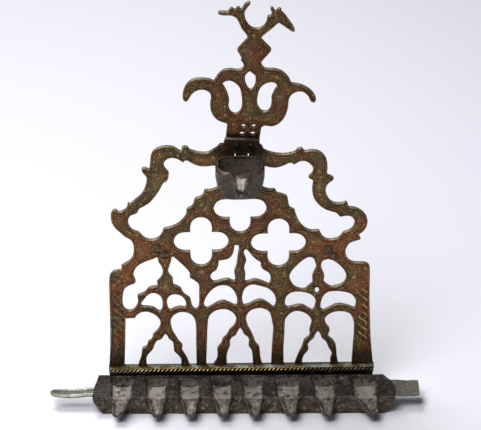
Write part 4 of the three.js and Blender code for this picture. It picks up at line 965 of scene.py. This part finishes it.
def row_finish(places, normals, edges, hollows):
    """Worn shelves, ramps and tips, brown front, darker left end, pits painted paler as fill light and dark in their
    hollows. Painted highlights on the pits' front walls, the ribs' inner ends and the front edge, and painted shade
    beside the ribs.
    """
    x, y, z = places.T
    out = plate_front - y
    front = ROW_GAP + ROW_SKEW * (0.5 + (x - lamp_middle) / ROW_LENGTH) + ROW_DEPTH
    up = eased(normals[:, 2], 0.25, 0.7)
    beyond = eased(out, front - 0.5, front + 1.5)
    patchy = eased(grains(places, ROW_PATCH, 11.0), -0.4, 0.25)
    reach = ((out - front) / SPOUT_LENGTH).clip(0, 1)[:, None]
    across = (np.abs(x[:, None] - WELLS[:, 0] - reach * WELLS[:, 2]) / (
        WELLS[:, 1] + reach * (SPOUT_TIP_HALF - WELLS[:, 1]))).min(1)
    rib = up * eased(z, *RIB_UP) * eased(out, front - 0.5, front - 2)
    # Painted highlight at the top of each rib's inner end
    rib_end_highlight = rib * bell(out, *RIB_END_OUT) * bell(across, *RIB_END_ACROSS)
    # Painted shade on the ribs' sides beside each well
    beside = up * eased(across, 0.6, 0.92)
    shelf = up * eased(z, *SHELF_DOWN) * eased(z, *SPOUT_UP)
    worn = shelf * (0.65 + 0.35 * patchy) * (1 - 0.6 * beside) * (1 - 0.5 * beyond)
    # Painted highlight on the sloping front wall of each pit
    lip = up * bell(out, front - LIP_BEHIND, 1.3) * eased(z, *LIP_UP) * patchy
    # Painted fill light: a pale grey in the pits stands in for light reaching into them
    pit = eased(out, front - PIT_BEHIND[0], front - PIT_BEHIND[1]) * eased(z, *PIT_DOWN)
    below = eased(-normals[:, 1], 0.2, 0.7) * eased(z, *FRONT_DOWN) * (1 - 0.8 * beyond)
    # Painted highlight along the top front edge
    front_edge_highlight = bell(out, front, 0.7) * eased(z, *RIB_UP)
    return np.zeros(len(z)), {
        # Worn grey, carrying the painted highlights of the pits' front walls and the ribs' inner ends
        "worn": np.maximum(np.maximum(worn, 1.2 * lip * (1 - 0.6 * beside)), 1.3 * rib_end_highlight),
        "pit": pit * (0.4 + 0.6 * patchy),
        "below": below,
        "tip": 1.5 * worn * eased(out - front, *TIP_BEYOND),
        "rub": edges * (0.15 + 0.25 * beyond) + 0.9 * front_edge_highlight,
        "graver": np.maximum(hollows, 0.9 * beside * (1 - rib_end_highlight)),
        "soot": np.maximum(0.6 * eased(x, *LEFT_END), 0.55 * (1 - worn) * beyond),
    }


row = cast_skin("oil_row", "oil_well_row", row_finish, grain=0.45, rounds=3, unevenness=0.14, keep=0.4)
dress(row, row_cast, "lamp", "oil_row")


# Servant lamp

# Its middle line, how far out its axis and front lie from the plate, and its rim's height, in millimetres
CUP_MIDDLE = 3.35
CUP_AXIS = 15.0
CUP_FRONT = 25.3
CUP_RIM = 186.76
# The ramp in its spout: half width at its start, how fast it narrows, and (start, end) of its outer end
RAMP_HALF, RAMP_TAPER, RAMP_START = 4.4, 0.26, 2.7
RAMP_END = (35.0, 34.3)
# The slot for the wick and the lip beyond it: (middle, width) outward, and (start, end) of their sides
WICK_SLOT, WICK_SLOT_SIDE, WICK_SLOT_DEEP = (36.9, 0.75), (3.4, 2.9), 1.2
LIP_OUT, LIP_SIDE = (35.5, 0.35), (3.5, 3.0)
# The nose bulges under the lip. The ramp is brightest at a (middle, width), and worn again beyond the slot
NOSE_OUT, NOSE_BULGE = (35.0, 36.5), 1.5
RAMP_BRIGHT = (29.5, 3.5)
BEYOND_SLOT = (36.8, 37.4)


def cup_finish(places, normals, edges, hollows):
    """Grey worn ramp with a dark wick slot before its lip, sooty bowl painted paler as fill light, brown-grey front.
    """
    x, y, z = places.T
    out = plate_front - y
    up, level = eased(normals[:, 2], 0.2, 0.6), eased(normals[:, 2], -0.1, 0.3)
    aside = np.abs(x - CUP_MIDDLE)
    half = RAMP_HALF - RAMP_TAPER * (out - CUP_FRONT - RAMP_START)
    ramp = up * eased(out, CUP_FRONT + 1.2, CUP_FRONT + 3.2) * eased(out, *RAMP_END) * eased(
        aside, half + 0.5, half - 0.6)
    slot = bell(out, *WICK_SLOT) * eased(aside, *WICK_SLOT_SIDE) * level
    nose = eased(out, *NOSE_OUT) * eased(normals[:, 2], -0.1, -0.6)
    outward = (x - CUP_MIDDLE) * normals[:, 0] - (out - CUP_AXIS) * normals[:, 1]
    # Painted fill light in the bowl
    bowl_painted_light = eased(outward, 3, 0) * eased(out, 22, 20) * eased(z, CUP_RIM - 0.4, CUP_RIM - 2)
    lip = up * bell(out, *LIP_OUT) * eased(aside, *LIP_SIDE)
    return WICK_SLOT_DEEP * slot - NOSE_BULGE * nose, {
        "worn": np.maximum(ramp, 0.55 * eased(out, *BEYOND_SLOT) * (1 - slot)),
        "pit": bowl_painted_light,
        "tip": ramp * bell(out, *RAMP_BRIGHT) * 0.6 + 0.7 * lip,
        "rub": edges * 0.25,
        "graver": np.maximum(hollows * 0.8, 1.3 * slot),
    }


cup = cast_skin("shamash_cup", "servant_lamp_cup", cup_finish, grain=0.35, rounds=3, unevenness=0.12, keep=0.4)
dress(cup, cup_cast, "servant_lamp", "shamash_cup")


# Strips at the ends of the row

# The left strip's groove: how far in from its side, its width and depth, and the dish inside it, in millimetres
GROOVE_IN, GROOVE_WIDTH, GROOVE_DEEP = 1.9, 0.6, 0.7
DISH_IN, DISH_DEEP = (1.2, 2.4), 0.4


def strip_finish(middle, half, dish):
    """The finish of a strip of a half width. A dish of 1 is the left strip's, and 0 leaves a flat one."""
    def finish(places, normals, edges, hollows):
        """A raised pale rim, a graved line inside it and a dished middle, and painted shade on the faces toward the
        front.
        """
        x, y, z = places.T
        across = np.abs(y - middle)
        up = eased(normals[:, 2], 0.4, 0.8)
        groove = bell(across, half - GROOVE_IN, GROOVE_WIDTH) * up * dish
        dished = DISH_DEEP * dish * up * eased(across, half - DISH_IN[0], half - DISH_IN[1])
        return groove * GROOVE_DEEP + dished, {
            "rub": np.maximum(edges, bell(across, half - 0.5, 0.7) * dish),
            # The graved line, and painted shade on faces that look forward
            "graver": np.maximum(groove, 0.7 * eased(-normals[:, 1], 0.4, 0.9)),
            "ruddy": np.full(len(x), 1 - dish) * (0.5 + grains(places, 4.0, 2.0)),
        }
    return finish


for node, name, dish in (("left_tongue", "left_strip", 1), ("right_tab", "right_strip", 0)):
    strip_low, strip_high = node_box(node)
    finish = strip_finish((strip_low[1] + strip_high[1]) / 2, (strip_high[1] - strip_low[1]) / 2, dish)
    strip = cast_skin(node, name, finish, grain=0.3, rounds=2, unevenness=0.12, keep=0.6)
    dress(strip, strip_cast, "lamp", node)


# Rivets and pins

def plain_finish(places, normals, edges, hollows):
    """Rubbed edges and dirty hollows, with nothing cut in."""
    return np.zeros(len(places)), {"rub": edges, "graver": hollows}


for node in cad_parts:
    if "rivet" in node or "row_pin" in node:
        metal, slot = (rivet_brass, "brown_brass") if "shoulder" in node else (rivet_iron, "dark_iron")
        head = cast_skin(node, node + "_head", plain_finish, grain=0.2, rounds=2, unevenness=0.1, keep=0.6)
        dress(head, metal, "lamp", node)


# Floor, lights and camera

FLOOR_HALF = 4.0
PAPER_COLOUR, ROOM_COLOUR, ROOM_LIGHT = "#f1f1f9", "#eeeef6", 0.055
# The photo's view, from 33 degrees above the floor: places in metres, and the lens in millimetres
VIEW_FROM = (-0.0281, -1.65991, 1.22828)
VIEW_TO = (0.0041, 0.017117, 0.139)
VIEW_LENS = 230.3
FARTHEST = 20


def white_paper():
    """A sweep of white paper: matt, so the shadows on it stay soft and grey."""
    material, tree = bare_material("white_paper")
    surface = add_node(tree, "BsdfPrincipled", Base_Color=shade(PAPER_COLOUR), Roughness=0.9, Specular_IOR_Level=0.1)
    add_node(tree, "OutputMaterial", Surface=surface)
    return material


def soft_light(name, place, target, width, height, watts):
    """A soft box at a place, turned to a target, its sides in metres."""
    lamp = bpy.data.lights.new(name, "AREA")
    lamp.shape = "RECTANGLE"
    lamp.size, lamp.size_y = width, height
    lamp.energy = watts
    holder = placed(name, lamp)
    holder.location = place
    holder.rotation_euler = (Vector(target) - Vector(place)).to_track_quat("-Z", "Y").to_euler()


floor_mesh = bpy.data.meshes.new("paper_sweep")
corners = [(x * FLOOR_HALF, y * FLOOR_HALF, 0) for x, y in ((-1, -1), (1, -1), (1, 1), (-1, 1))]
floor_mesh.from_pydata(corners, [], [(0, 1, 2, 3)])
floor = placed("paper_sweep", floor_mesh)
floor_mesh.materials.append(white_paper())

# Two soft boxes high at the left, behind the lamp and before it, and a weak wide one at the front
soft_light("softbox_behind", (-0.36, 0.4, 1.2), (0, 0, 0), 0.6, 0.6, 11.4)
soft_light("softbox_before", (-0.36, -0.48, 1.2), (0, 0, 0), 0.6, 0.6, 10.6)
soft_light("front_fill", (-0.5, -1.8, 1.3), (0, 0, 0.12), 1.2, 1.0, 1.8)

world = bpy.data.worlds.new("pale_room")
world.use_nodes = True
background = world.node_tree.nodes["Background"].inputs
background["Color"].default_value = shade(ROOM_COLOUR)
background["Strength"].default_value = ROOM_LIGHT
bpy.context.scene.world = world

camera_data = bpy.data.cameras.new("photo_view")
camera_data.lens = VIEW_LENS
camera_data.clip_end = FARTHEST
camera = placed("photo_view", camera_data)
camera.location = VIEW_FROM
camera.rotation_euler = (Vector(VIEW_TO) - camera.location).to_track_quat("-Z", "Y").to_euler()
bpy.context.scene.camera = camera
bpy.context.scene.view_settings.view_transform = "Standard"
